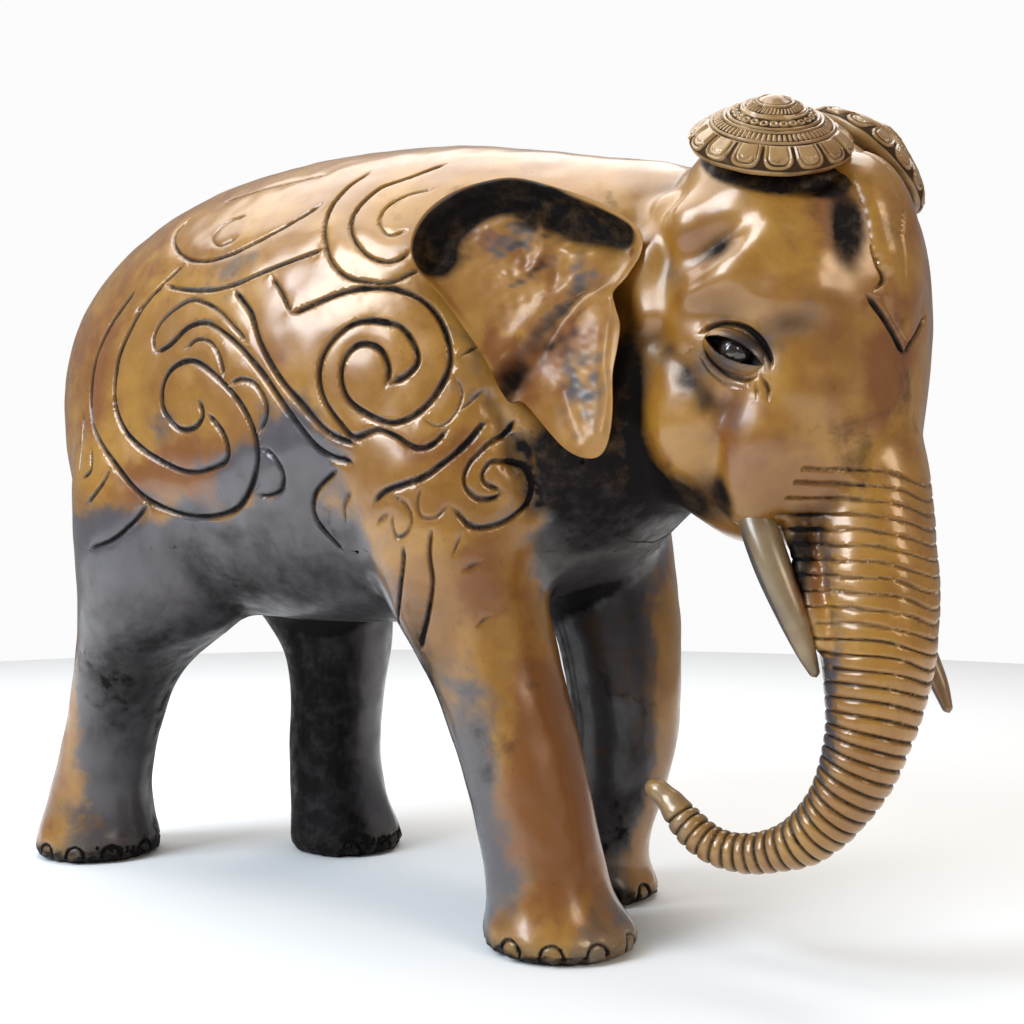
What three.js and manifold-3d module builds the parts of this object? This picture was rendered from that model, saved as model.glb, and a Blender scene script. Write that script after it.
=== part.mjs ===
// A carved elephant figurine: blocks of wood glued up with dowels, then carved to shape.
// Millimetres. +X is the elephant's forward, +Y its left, +Z up, and it stands on z = 0.

import * as THREE from "three";
import { mergeVertices } from "three/addons/utils/BufferGeometryUtils.js";
import Module from "manifold-3d";

const wasm = await Module();
wasm.setup();

// Driving dimensions
const GAP = 0.3; // clearance between glued or fitted faces
const NECK_X = 118; // glue face between the body block and the head block
const SEAT_Z = 172; // top of the leg blocks
const FRONT_SEAT_X = [5, 150]; // front and back of the front leg blocks
const HIND_SEAT_X = [-300, -55]; // front and back of the hind leg blocks
const TRUNK_JOINT_Z = 141; // glue face across the trunk, in a ring groove
const BEYOND = 400; // larger than any piece

// How finely the curved forms are faceted: cross-sections along, then sides around
const FACETS = {
  torso: [20, 30],
  head: [14, 26],
  leg: [15, 18],
  trunk: [26, 16],
  tusk: [9, 10],
  tail: [13, 8],
  lappet: [9, 12],
};
const BOSS_FACETS = 16;
const EYE_FACETS = 12;
const CAP_FACETS = 24;
const PIN_FACETS = 12;
const EAR_FACETS = 30;
const ROUNDED_END_STEPS = 4;

const COLOURS = {
  carved: { color: 0xa9793a, roughness: 0.34, metalness: 0.0 },
  ear: { color: 0x97682f, roughness: 0.36, metalness: 0.0 },
  cap: { color: 0xa08048, roughness: 0.38, metalness: 0.0 },
  tusk: { color: 0x8a7448, roughness: 0.36, metalness: 0.0 },
  bead: { color: 0x2a1c12, roughness: 0.12, metalness: 0.0 },
  dowel: { color: 0xd2b07c, roughness: 0.7, metalness: 0.0 },
};

// Torso, from rump to neck: x, back height, belly height, half width
const TORSO = [
  [-226, 288, 214, 34],
  [-219, 312, 190, 54],
  [-203, 331, 168, 70],
  [-174, 350, 150, 83],
  [-130, 366, 137, 91],
  [-75, 373, 133, 96],
  [-20, 373, 134, 97],
  [30, 369, 140, 92],
  [70, 361, 150, 80],
  [105, 353, 165, 66],
  [135, 346, 190, 54],
  [155, 338, 215, 44],
];

// Head, from jaw to crown: z, back x, front x, half width
const HEAD = [
  [178, 164, 216, 27],
  [186, 150, 228, 37],
  [197, 136, 237, 45],
  [215, 124, 242, 51],
  [240, 119, 245, 56],
  [262, 121, 247, 58],
  [285, 126, 246, 58],
  [310, 135, 241, 56],
  [332, 147, 228, 50],
  [346, 160, 212, 38],
];

// Bosses of the crown, one under each cap: centre and radii. The left one stands higher and further forward.
const CROWN_BOSSES = [
  { centre: [186, -27, 303], radii: [38, 31, 38] },
  { centre: [195, 31, 311], radii: [38, 31, 38] },
];

// Legs, from sole to shoulder or haunch: z, x, y, radius along X, radius along Y
const LEGS = {
  leg_front_right: [
    [0, 100, -43, 32, 32],
    [4, 100, -43, 35, 35],
    [9, 99, -43, 34.5, 34.5],
    [16, 96.5, -43, 30, 30],
    [28, 92.5, -43, 27.7, 27.7],
    [51, 87.5, -43, 27.7, 27.7],
    [70, 82, -43, 28.4, 28.4],
    [91, 75.5, -43, 29.2, 29.5],
    [112, 67.5, -43.5, 30.5, 31.5],
    [135, 57, -45, 35.5, 34],
    [153, 51, -48, 39, 37],
    [172, 46, -51, 43, 38],
    [197, 41, -54, 46, 39],
    [222, 36, -55, 48, 37],
    [255, 30, -52, 44, 32],
  ],
  leg_front_left: [
    [0, 68, 38, 31.5, 31.5],
    [4, 68, 38, 34, 34],
    [9, 68, 38, 33, 33],
    [16, 67, 38, 29, 29],
    [30, 71, 38, 26.5, 26.5],
    [54, 80, 38, 26.5, 26.5],
    [80, 86, 39, 27, 27],
    [107, 84, 41, 29, 30],
    [131, 79, 44, 32, 33],
    [150, 72, 47, 36, 36],
    [170, 63, 51, 41, 38],
    [195, 53, 54, 45, 39],
    [222, 43, 55, 48, 37],
    [255, 34, 52, 44, 32],
  ],
  leg_hind_right: [
    [0, -206, -43, 32, 32],
    [4, -206, -43, 35, 35],
    [10, -206, -43, 34, 34],
    [28, -206, -43, 29, 29],
    [52, -200.5, -43, 26.5, 27],
    [75, -192.5, -43, 26.5, 27],
    [97, -183.5, -44, 28.5, 29],
    [109, -174.5, -45, 32, 32],
    [120, -164, -47, 40, 34],
    [136, -148, -49, 52, 37],
    [165, -144, -52, 52, 41],
    [200, -143, -54, 54, 42],
    [240, -140, -52, 54, 38],
    [275, -138, -46, 46, 30],
  ],
  leg_hind_left: [
    [0, -99, 45, 30.5, 30.5],
    [4, -99, 45, 33, 33],
    [10, -100, 45, 32, 32],
    [26, -105, 45, 28, 28],
    [54, -108.5, 45, 26.5, 27],
    [83, -106.5, 45, 26, 28],
    [104, -106, 46, 28.5, 31],
    [120, -110, 47, 34, 34],
    [140, -122, 49, 45, 38],
    [165, -132, 52, 50, 41],
    [200, -140, 54, 54, 42],
    [240, -140, 52, 54, 38],
    [275, -138, 46, 46, 30],
  ],
};

// Trunk, from inside the face to the tip: x, y, z, radius across, radius in the plane of the bend
const TRUNK = [
  [205, 0, 236, 25, 25],
  [219, -1, 216, 26.5, 26],
  [224, -5, 200, 26, 25.5],
  [228, -11, 177, 25.5, 25.5],
  [232, -17, 153, 25, 25],
  [234, -22, 130, 22.5, 22.5],
  [233, -26, 106, 18.5, 18.5],
  [227.5, -28.5, 85, 15.2, 15.2],
  [217, -29.5, 67.5, 12.8, 12.8],
  [202, -30.5, 54.5, 11, 11],
  [183, -30.5, 48.5, 9.8, 9.8],
  [167, -30.5, 49.5, 9.6, 9.6],
  [155, -30, 57, 9.6, 9.6],
  [147, -29.5, 65, 8.6, 7.5],
  [138, -29.5, 69, 5.5, 3.8],
];

// Tusks, from the tenon in the jaw to the tip: x, y, z, radius, radius
const TUSKS = {
  tusk_right: [
    [177, -30, 207, 5.6, 5.6],
    [184, -34, 196, 6, 6],
    [190, -38, 184, 7.4, 7.2],
    [198, -41, 167, 7.6, 6.8],
    [206, -41.5, 149, 6.2, 5.6],
    [211.5, -40, 134, 4, 4],
    [215, -38, 124, 1.8, 1.8],
  ],
  tusk_left: [
    [177, 30, 207, 5.6, 5.6],
    [184, 34, 196, 6, 6],
    [192, 38, 184, 7.4, 7.2],
    [208, 41, 165, 7.4, 6.8],
    [226, 40.5, 142, 6, 5.6],
    [239, 37.5, 119, 4.4, 4.2],
    [245.5, 35, 104, 2, 2],
  ],
};

// Tail, from the peg in the rump to the tuft: x, y, z, radius, radius
const TAIL = [
  [-205, 2, 285, 5, 5],
  [-222, 4, 277, 6, 6],
  [-235, 6, 261, 5.5, 5.5],
  [-240, 8, 236, 4.8, 4.8],
  [-239, 9, 206, 4.2, 4.2],
  [-236, 9, 182, 6, 5],
  [-232, 8, 160, 5, 4.5],
  [-230, 8, 146, 1.5, 1.5],
];

// Raised strip down the forehead, from the crown to its pointed tip: x, y, z, half width, half thickness.
// It lies a little to the right of the midplane, so it is turned to face the way the forehead does there.
const LAPPET = [
  [225, -13, 331, 7, 2.6],
  [229.5, -15, 326.5, 10, 3.4],
  [235, -18.5, 316, 13, 3.6],
  [239.3, -20, 303, 13.5, 3.6],
  [241.8, -20.5, 289, 12.5, 3.6],
  [242.8, -19.5, 275, 11, 3.4],
  [243, -18, 263, 6.5, 3.2],
  [242.6, -17, 253, 1.2, 2.4],
];
const LAPPET_ACROSS = [0.33, 0.94, 0];

// Ear: its root line on the head, how far it turns out from the head, and its outline.
const EAR_ROOT = new THREE.Vector3(135, -57, 0);
const EAR_FLARE = THREE.MathUtils.degToRad(19.3);
const EAR_DISH = 9;
const EAR_DISH_POWER = 3; // how close to the rim the dish stays deep
const EAR_THICKNESS = 8;
const EAR_BACK_POWER = 4; // how close to the rim the ear stays thick
const EAR_RIM_SHARE = 0.35; // the rim's share of the thickness
const EAR_REACHES = [0.35, 0.65, 0.85, 0.96]; // rings between the ear's middle and its rim
const EAR_CENTRE = [40, 276];
const EAR_SEAT_RISE = 60; // how far its seat is open in front of it
const EAR_PEG = { centre: [139.5, -39.5, 290], direction: [0.2, 0.98, 0], radius: 4, length: 24 };
// Outline as distance back from the root line, and height, round from the root's top
const EAR_OUTLINE = [
  [-10, 306],
  [6, 319],
  [23, 326],
  [41, 329.5],
  [55, 329],
  [70, 325],
  [83, 317],
  [88, 306],
  [86, 293],
  [72, 274],
  [58, 258],
  [46, 241],
  [34, 228],
  [22, 218],
  [13, 212.5],
  [6, 212],
  [1, 217],
  [1, 236],
  [-2, 254],
  [-8, 272],
  [-12, 290],
];

// Domed caps on the crown: where each base sits and which way each dome points, then the turned profile
const CAPS = {
  right: { base: [194, -35, 334], tilt: [0.313, -0.464, 0.829] },
  left: { base: [204, 38.5, 341], tilt: [0.57, 0.36, 0.75] },
};
const CAP_PROFILE = [
  [0, 0],
  [28, 0],
  [31.5, 1.6],
  [32.8, 4.5],
  [31, 7.5],
  [24.5, 12],
  [17, 16],
  [9.5, 20],
  [4, 22.5],
  [0, 23.2],
];
const CAP_SEAT_RADIUS = 34.5;
const CAP_ROOM_HEIGHT = 60;

// Eyes: glass-smooth beads let into the sockets
const EYE_CENTRE = [188, 54.5, 252];
const EYE_RADIUS = 7;

// Dowels: the pieces they join, centre, direction, radius and length
const DOWELS = [
  ["neck_dowel_upper", "body_block", "head_block", [NECK_X, 0, 318], [1, 0, 0], 5, 56],
  ["neck_dowel_lower", "body_block", "head_block", [NECK_X, 0, 232], [1, 0, 0], 5, 44],
  ["trunk_dowel", "head_block", "trunk_lower", [233.2, -19.8, TRUNK_JOINT_Z], [0.06, -0.21, -0.98], 4, 44],
  ["cap_dowel_right", "head_cap_right", "head_block", CAPS.right.base, CAPS.right.tilt, 3, 24],
  ["cap_dowel_left", "head_cap_left", "head_block", CAPS.left.base, CAPS.left.tilt, 3, 24],
];
const LEG_DOWEL_RADIUS = 4;
const LEG_DOWEL_LENGTH = 44;
const LEG_DOWEL_PLACES = {
  leg_front_right: [[34, -42], [72, -38]],
  leg_front_left: [[46, 42], [84, 38]],
  leg_hind_right: [[-185, -42], [-140, -42]],
  leg_hind_left: [[-165, 42], [-115, 42]],
};

// Smooth interpolation of a table's columns, with t running from 0 to 1 over its rows
function rowAt(table, t) {
  const place = t * (table.length - 1);
  const i = Math.min(Math.floor(place), table.length - 2);
  const w = place - i;
  const row = (k) => table[THREE.MathUtils.clamp(k, 0, table.length - 1)];
  return table[0].map((_, c) => {
    const [a, b, d, e] = [row(i - 1)[c], row(i)[c], row(i + 1)[c], row(i + 2)[c]];
    const rise = (d - a) / 2;
    const fall = (e - b) / 2;
    const cubic = 2 * (b - d) + rise + fall;
    const square = -3 * (b - d) - 2 * rise - fall;
    return ((cubic * w + square) * w + rise) * w + b;
  });
}

function rowsOf(table, count) {
  return Array.from({ length: count + 1 }, (_, i) => rowAt(table, i / count));
}

// A cross-section is a centre and two half axes; u x v points along the form.
function section(centre, u, v) {
  return { centre: new THREE.Vector3(...centre), u: new THREE.Vector3(...u), v: new THREE.Vector3(...v) };
}

function roundedEnd(end, bulge, direction) {
  const steps = bulge ? ROUNDED_END_STEPS : 0;
  return Array.from({ length: steps }, (_, i) => {
    const angle = ((i + 1) / (steps + 1)) * (Math.PI / 2);
    return {
      centre: end.centre.clone().addScaledVector(direction, bulge * Math.sin(angle)),
      u: end.u.clone().multiplyScalar(Math.cos(angle)),
      v: end.v.clone().multiplyScalar(Math.cos(angle)),
    };
  });
}

function along(end) {
  return new THREE.Vector3().crossVectors(end.u, end.v).normalize();
}

// A point of a cross-section's outline: an oval of one power above its middle and another below
function ringPoint({ centre, u, v }, angle, { power = 2, lowerPower = power }) {
  const c = Math.cos(angle);
  const s = Math.sin(angle);
  const exponent = 2 / (s < 0 ? lowerPower : power);
  const x = Math.sign(c) * Math.abs(c) ** exponent;
  const y = Math.sign(s) * Math.abs(s) ** exponent;
  return centre.clone().addScaledVector(u, x).addScaledVector(v, y);
}

// A closed surface through rings of points, with a pole at each end
function closedSurface(rings, startPole, endPole) {
  const sides = rings[0].length;
  const points = [startPole, ...rings.flat(), endPole];
  const at = (i, j) => 1 + i * sides + (j % sides);
  const last = rings.length - 1;
  const index = [];
  for (let j = 0; j < sides; j++) {
    index.push(0, at(0, j + 1), at(0, j));
    index.push(points.length - 1, at(last, j), at(last, j + 1));
    for (let i = 0; i < last; i++) {
      index.push(at(i, j), at(i, j + 1), at(i + 1, j + 1));
      index.push(at(i, j), at(i + 1, j + 1), at(i + 1, j));
    }
  }
  const geometry = new THREE.BufferGeometry().setFromPoints(points);
  geometry.setIndex(index);
  return geometry;
}

// A closed skin over cross-sections, its ends flat or bulging by a given height
function skin(sections, sides, { startBulge = 0, endBulge = 0, ...oval } = {}) {
  const first = sections[0];
  const last = sections[sections.length - 1];
  const back = along(first).negate();
  const forth = along(last);
  const startSections = roundedEnd(first, startBulge, back).reverse();
  const endSections = roundedEnd(last, endBulge, forth);
  const all = [...startSections, ...sections, ...endSections];
  const angles = Array.from({ length: sides }, (_, j) => (2 * Math.PI * j) / sides);
  const rings = all.map((one) => angles.map((angle) => ringPoint(one, angle, oval)));
  const startPole = first.centre.clone().addScaledVector(back, startBulge);
  const endPole = last.centre.clone().addScaledVector(forth, endBulge);
  return closedSurface(rings, startPole, endPole);
}

// A round or oval bar along rows of x, y, z, radius across and radius in the plane of the bend
function bar(table, [count, sides], { grow = 0, side = [0, 1, 0], ...ends } = {}) {
  const rows = rowsOf(table, count);
  const across = new THREE.Vector3(...side);
  const sections = rows.map(([x, y, z, wide, deep], i) => {
    const before = new THREE.Vector3(...rows[Math.max(i - 1, 0)]);
    const after = new THREE.Vector3(...rows[Math.min(i + 1, count)]);
    const direction = after.sub(before).normalize();
    const u = across.clone().addScaledVector(direction, -across.dot(direction)).normalize();
    const v = direction.clone().cross(u);
    return section([x, y, z], u.multiplyScalar(wide + grow), v.multiplyScalar(deep + grow));
  });
  return skin(sections, sides, ends);
}

function ellipsoid([x, y, z], [rx, ry, rz], detail) {
  return new THREE.SphereGeometry(1, detail, detail / 2).scale(rx, ry, rz).translate(x, y, z);
}

function block([x0, y0, z0], [x1, y1, z1]) {
  const box = new THREE.BoxGeometry(x1 - x0, y1 - y0, z1 - z0);
  return box.translate((x0 + x1) / 2, (y0 + y1) / 2, (z0 + z1) / 2);
}

// A round pin, or the hole for one, centred on a point and pointing along a direction
function pin(centre, direction, radius, length, grow = 0) {
  const cylinder = new THREE.CylinderGeometry(radius + grow, radius + grow, length + 2 * grow, PIN_FACETS);
  const turn = new THREE.Quaternion().setFromUnitVectors(
    new THREE.Vector3(0, 1, 0),
    new THREE.Vector3(...direction).normalize(),
  );
  return cylinder.applyQuaternion(turn).translate(...centre);
}

function mirrored(geometry) {
  const copy = geometry.clone().scale(1, -1, 1);
  const index = copy.index.array;
  for (let i = 0; i < index.length; i += 3) [index[i + 1], index[i + 2]] = [index[i + 2], index[i + 1]];
  return copy;
}

// Between three.js geometry and solids that can be joined and cut
function solid(geometry) {
  const bare = geometry.clone();
  bare.deleteAttribute("normal");
  bare.deleteAttribute("uv");
  const welded = mergeVertices(bare, 1e-4);
  const vertProperties = new Float32Array(welded.attributes.position.array);
  const triVerts = new Uint32Array(welded.index.array);
  return new wasm.Manifold(new wasm.Mesh({ numProp: 3, vertProperties, triVerts }));
}

function joined(...geometries) {
  return geometries.map(solid).reduce((all, one) => all.add(one));
}

function geometryOf(body) {
  const mesh = body.getMesh();
  const geometry = new THREE.BufferGeometry();
  geometry.setAttribute("position", new THREE.BufferAttribute(mesh.vertProperties, 3));
  geometry.setIndex(new THREE.BufferAttribute(mesh.triVerts, 1));
  geometry.computeVertexNormals();
  return geometry;
}

// The carved forms, before the blocks are parted
function torsoForm() {
  const [count, sides] = FACETS.torso;
  const sections = rowsOf(TORSO, count).map(([x, top, bottom, halfWidth]) =>
    section([x, 0, (top + bottom) / 2], [0, halfWidth, 0], [0, 0, (top - bottom) / 2]),
  );
  return skin(sections, sides, { power: 2.1, lowerPower: 2.6, startBulge: 5 });
}

function headForm() {
  const [count, sides] = FACETS.head;
  const sections = rowsOf(HEAD, count).map(([z, back, front, halfWidth]) =>
    section([(back + front) / 2, 0, z], [(front - back) / 2, 0, 0], [0, halfWidth, 0]),
  );
  return skin(sections, sides, { power: 2.15, startBulge: 3, endBulge: 7 });
}

function crownBosses() {
  return CROWN_BOSSES.map(({ centre, radii }) => ellipsoid(centre, radii, BOSS_FACETS));
}

function legForm(table) {
  const [count, sides] = FACETS.leg;
  const sections = rowsOf(table, count).map(([z, x, y, rx, ry]) =>
    section([x, y, z], [rx, 0, 0], [0, ry, 0]),
  );
  return skin(sections, sides, { endBulge: 25 });
}

function trunkForm() {
  return bar(TRUNK, FACETS.trunk, { endBulge: 3 });
}

function tuskForm(table, grow = 0) {
  return bar(table, FACETS.tusk, { grow, endBulge: 2 });
}

function tailForm(grow = 0) {
  return bar(TAIL, FACETS.tail, { grow, endBulge: 3 });
}

function lappetForm(grow = 0) {
  return bar(LAPPET, FACETS.lappet, { grow, side: LAPPET_ACROSS, power: 3 });
}

// The ear is a dish: its front face sinks towards the middle and its back face follows behind.
// The seat is the same outline, a little larger, open to the front.
function earForm({ grow = 0, frontRise = 0 }) {
  const back = new THREE.Vector3(-Math.cos(EAR_FLARE), -Math.sin(EAR_FLARE), 0);
  const out = new THREE.Vector3(Math.sin(EAR_FLARE), -Math.cos(EAR_FLARE), 0);
  const place = ([distance, height], offset) =>
    EAR_ROOT.clone().addScaledVector(back, distance).addScaledVector(out, offset).setZ(height);
  const outline = new THREE.CatmullRomCurve3(
    EAR_OUTLINE.map(([distance, height]) => new THREE.Vector3(distance, height, 0)),
    true,
  ).getSpacedPoints(EAR_FACETS);
  outline.pop();
  const centre = new THREE.Vector3(...EAR_CENTRE, 0);
  const ring = (reach, offset) =>
    outline.map((edge) => {
      const arm = edge.clone().sub(centre);
      arm.setLength(arm.length() * reach + grow);
      return place([centre.x + arm.x, centre.y + arm.y], offset);
    });
  const dish = (reach) => -EAR_DISH * (1 - reach ** EAR_DISH_POWER);
  const thickness = (reach) => EAR_THICKNESS * Math.sqrt(1 - reach ** EAR_BACK_POWER);
  const behind = (reach) => dish(reach) - thickness(reach) - grow;
  const backRings = EAR_REACHES.map((reach) => ring(reach, behind(reach)));
  const rim = [ring(1, -EAR_THICKNESS * EAR_RIM_SHARE - grow), ring(1, frontRise)];
  const frontRings = EAR_REACHES.map((reach) => ring(reach, dish(reach) + frontRise)).reverse();
  const startPole = place(EAR_CENTRE, behind(0));
  const endPole = place(EAR_CENTRE, dish(0) + frontRise);
  return closedSurface([...backRings, ...rim, ...frontRings], startPole, endPole);
}

function earPeg(grow = 0) {
  const { centre, direction, radius, length } = EAR_PEG;
  return pin(centre, direction, radius, length, grow);
}

function onCapSeat(geometry, { base, tilt }) {
  const direction = new THREE.Vector3(...tilt).normalize();
  const turn = new THREE.Quaternion().setFromUnitVectors(new THREE.Vector3(0, 1, 0), direction);
  return geometry.applyQuaternion(turn).translate(...base);
}

function capForm(seat) {
  const profile = CAP_PROFILE.map(([radius, height]) => new THREE.Vector2(radius, height));
  return onCapSeat(new THREE.LatheGeometry(profile, CAP_FACETS), seat);
}

// The room that a cap needs above the crown: everything over the plane of its base
function capRoom(seat) {
  const room = new THREE.CylinderGeometry(CAP_SEAT_RADIUS, CAP_SEAT_RADIUS, CAP_ROOM_HEIGHT, CAP_FACETS);
  return onCapSeat(room.translate(0, CAP_ROOM_HEIGHT / 2 - GAP, 0), seat);
}

function eyeForm(side, grow = 0) {
  const [x, y, z] = EYE_CENTRE;
  const radius = EYE_RADIUS + grow;
  return ellipsoid([x, side * y, z], [radius, radius, radius], EYE_FACETS);
}

// Leg blocks lie under the body block and meet at the midplane.
function seatBlock([x0, x1], side, grow = 0) {
  const inner = GAP / 2 - grow;
  const [y0, y1] = side < 0 ? [-BEYOND, -inner] : [inner, BEYOND];
  return block([x0 - grow, y0, -1], [x1 + grow, y1, SEAT_Z + grow]);
}

function legBlocks() {
  return {
    leg_front_right: [FRONT_SEAT_X, -1],
    leg_front_left: [FRONT_SEAT_X, 1],
    leg_hind_right: [HIND_SEAT_X, -1],
    leg_hind_left: [HIND_SEAT_X, 1],
  };
}

// Parts the carved mass into its blocks
function carvedBlocks() {
  const mass = joined(torsoForm(), ...Object.values(LEGS).map(legForm));
  const blocks = {};
  let body = mass;
  for (const [name, [reach, side]] of Object.entries(legBlocks())) {
    blocks[name] = mass.intersect(solid(seatBlock(reach, side)));
    body = body.subtract(solid(seatBlock(reach, side, GAP)));
  }
  const behindNeck = solid(block([-BEYOND, -BEYOND, -BEYOND], [NECK_X, BEYOND, BEYOND]));
  const aheadOfNeck = solid(block([NECK_X + GAP, -BEYOND, -BEYOND], [BEYOND, BEYOND, BEYOND]));
  blocks.body_block = body.intersect(behindNeck);
  const head = joined(torsoForm(), headForm(), ...crownBosses()).intersect(aheadOfNeck);
  const aboveJoint = solid(block([-BEYOND, -BEYOND, TRUNK_JOINT_Z], [BEYOND, BEYOND, BEYOND]));
  const belowJoint = solid(block([-BEYOND, -BEYOND, -BEYOND], [BEYOND, BEYOND, TRUNK_JOINT_Z - GAP]));
  blocks.head_block = head.add(solid(trunkForm()).intersect(aboveJoint));
  blocks.trunk_lower = solid(trunkForm()).intersect(belowJoint);
  return blocks;
}

function fittings() {
  return {
    ear_right: joined(earForm({}), earPeg()),
    ear_left: joined(mirrored(earForm({})), mirrored(earPeg())),
    head_cap_right: solid(capForm(CAPS.right)),
    head_cap_left: solid(capForm(CAPS.left)),
    forehead_lappet: solid(lappetForm()),
    tusk_right: solid(tuskForm(TUSKS.tusk_right)),
    tusk_left: solid(tuskForm(TUSKS.tusk_left)),
    eye_right: solid(eyeForm(-1)),
    eye_left: solid(eyeForm(1)),
    tail: solid(tailForm()),
  };
}

// Every seat and socket that the fittings need in the blocks
function seats() {
  const earSeat = earForm({ grow: GAP, frontRise: EAR_SEAT_RISE });
  const earSeats = [earSeat, mirrored(earSeat), earPeg(GAP), mirrored(earPeg(GAP))];
  const headSeats = [
    ...earSeats,
    capRoom(CAPS.right),
    capRoom(CAPS.left),
    lappetForm(GAP),
    tuskForm(TUSKS.tusk_right, GAP),
    tuskForm(TUSKS.tusk_left, GAP),
    eyeForm(-1, GAP),
    eyeForm(1, GAP),
  ];
  return {
    head_block: headSeats.map(solid),
    body_block: [...earSeats, tailForm(GAP)].map(solid),
  };
}

function dowelList() {
  const legDowels = Object.entries(LEG_DOWEL_PLACES).flatMap(([leg, places]) =>
    places.map(([x, y], i) => [
      `${leg}_dowel_${i + 1}`,
      "body_block",
      leg,
      [x, y, SEAT_Z],
      [0, 0, 1],
      LEG_DOWEL_RADIUS,
      LEG_DOWEL_LENGTH,
    ]),
  );
  return [...DOWELS, ...legDowels];
}

function assemble() {
  const pieces = { ...carvedBlocks(), ...fittings() };
  for (const [name, cutters] of Object.entries(seats())) {
    for (const cutter of cutters) pieces[name] = pieces[name].subtract(cutter);
  }
  for (const [name, first, second, centre, direction, radius, length] of dowelList()) {
    const hole = solid(pin(centre, direction, radius, length, GAP));
    pieces[first] = pieces[first].subtract(hole);
    pieces[second] = pieces[second].subtract(hole);
    pieces[name] = solid(pin(centre, direction, radius, length));
  }
  return pieces;
}

function finishOf(name) {
  if (name.includes("dowel")) return "dowel";
  if (name.startsWith("ear")) return "ear";
  if (name.startsWith("head_cap")) return "cap";
  if (name.startsWith("tusk")) return "tusk";
  if (name.startsWith("eye")) return "bead";
  return "carved";
}

const elephant = new THREE.Group();
for (const [name, body] of Object.entries(assemble())) {
  const mesh = new THREE.Mesh(geometryOf(body), new THREE.MeshStandardMaterial(COLOURS[finishOf(name)]));
  mesh.name = name;
  elephant.add(mesh);
}

// The origin is the middle of the whole outline, on the ground.
const outline = new THREE.Box3().setFromObject(elephant);
const middle = outline.getCenter(new THREE.Vector3());
elephant.position.set(-middle.x, -middle.y, -outline.min.z);

export default elephant;
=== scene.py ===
"""The looks of a carved wooden elephant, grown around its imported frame.

Lengths are millimetres in the carver's frame: +X forward, +Y the elephant's left, +Z up. The
carver's frame is the shared frame moved along X, by an amount read from the neck's glue line.
"""

import math

import bpy
import numpy as np
import openvdb
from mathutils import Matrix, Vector
from mathutils.bvhtree import BVHTree
from mathutils.kdtree import KDTree


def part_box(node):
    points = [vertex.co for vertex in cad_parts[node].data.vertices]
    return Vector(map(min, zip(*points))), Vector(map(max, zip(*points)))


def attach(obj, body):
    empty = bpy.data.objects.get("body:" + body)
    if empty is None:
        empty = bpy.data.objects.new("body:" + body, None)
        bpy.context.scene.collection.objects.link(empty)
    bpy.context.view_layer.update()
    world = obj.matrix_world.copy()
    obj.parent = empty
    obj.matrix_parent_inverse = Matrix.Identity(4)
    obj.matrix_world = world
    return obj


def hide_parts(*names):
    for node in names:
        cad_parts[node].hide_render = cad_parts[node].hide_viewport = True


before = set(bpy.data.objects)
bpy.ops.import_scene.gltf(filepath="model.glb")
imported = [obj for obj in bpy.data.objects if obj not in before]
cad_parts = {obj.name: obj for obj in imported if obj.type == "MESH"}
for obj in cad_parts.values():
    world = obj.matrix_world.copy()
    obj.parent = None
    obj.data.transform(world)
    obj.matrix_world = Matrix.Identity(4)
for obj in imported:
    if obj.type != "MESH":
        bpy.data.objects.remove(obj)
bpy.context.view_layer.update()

# Driving dimensions
METRE = 1000.0
JOINT_GAP = 0.3  # glue line between two blocks
NECK_X = 118 + JOINT_GAP / 2  # the neck's glue line in the carver's frame
COARSE = 1.0

SEED = 11
FAR = 300  # beyond any piece


def box_of(node):
    """A CAD node's lowest and highest corners in the carver's frame."""
    low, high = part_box(node)
    return np.array(low) * METRE - [SHIFT, 0, 0], np.array(high) * METRE - [SHIFT, 0, 0]


SHIFT = (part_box("body_block")[1].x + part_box("head_block")[0].x) / 2 * METRE - NECK_X
SEAT_Z = box_of("leg_front_right")[1][2] + JOINT_GAP / 2
FRONT_SEAT_X = box_of("leg_front_right")[0][0] - JOINT_GAP / 2
HIND_SEAT_X = box_of("leg_hind_right")[1][0] + JOINT_GAP / 2
TRUNK_JOINT_Z = box_of("trunk_lower")[1][2] + JOINT_GAP / 2
LEGS = ("leg_front_right", "leg_front_left", "leg_hind_right", "leg_hind_left")


# ---- curves -------------------------------------------------------------------------------------


def through(points, spacing):
    """A smooth line through given points, as places about spacing apart."""
    points = np.array(points, float)
    if len(points) == 2:
        points = np.array([points[0], points.mean(0), points[1]])
    ends = np.vstack([2 * points[0] - points[1], points, 2 * points[-1] - points[-2]])
    line = []
    for a, b, c, d in zip(ends[:-3], ends[1:-2], ends[2:-1], ends[3:]):
        count = max(2, int(np.linalg.norm(c - b) / spacing))
        t = (np.arange(count) / count)[:, None]
        cubic = 2 * b + (c - a) * t + (2 * a - 5 * b + 4 * c - d) * t**2
        line.append(0.5 * (cubic + (3 * b - a - 3 * c + d) * t**3))
    return np.vstack(line + [points[-1:]])


def arc(centre, radius, start, end, step=20):
    """Places on an arc in a plane, with angles in degrees from its first axis."""
    count = max(2, int(abs(end - start) / step) + 1)
    angles = np.radians(np.linspace(start, end, count))
    return [(centre[0] + radius * math.cos(a), centre[1] + radius * math.sin(a)) for a in angles]


def lengths_along(line):
    """The distance along a line of points to each of them."""
    steps = np.linalg.norm(np.diff(line, axis=0), axis=1)
    return np.concatenate([[0], np.cumsum(steps)])


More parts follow.
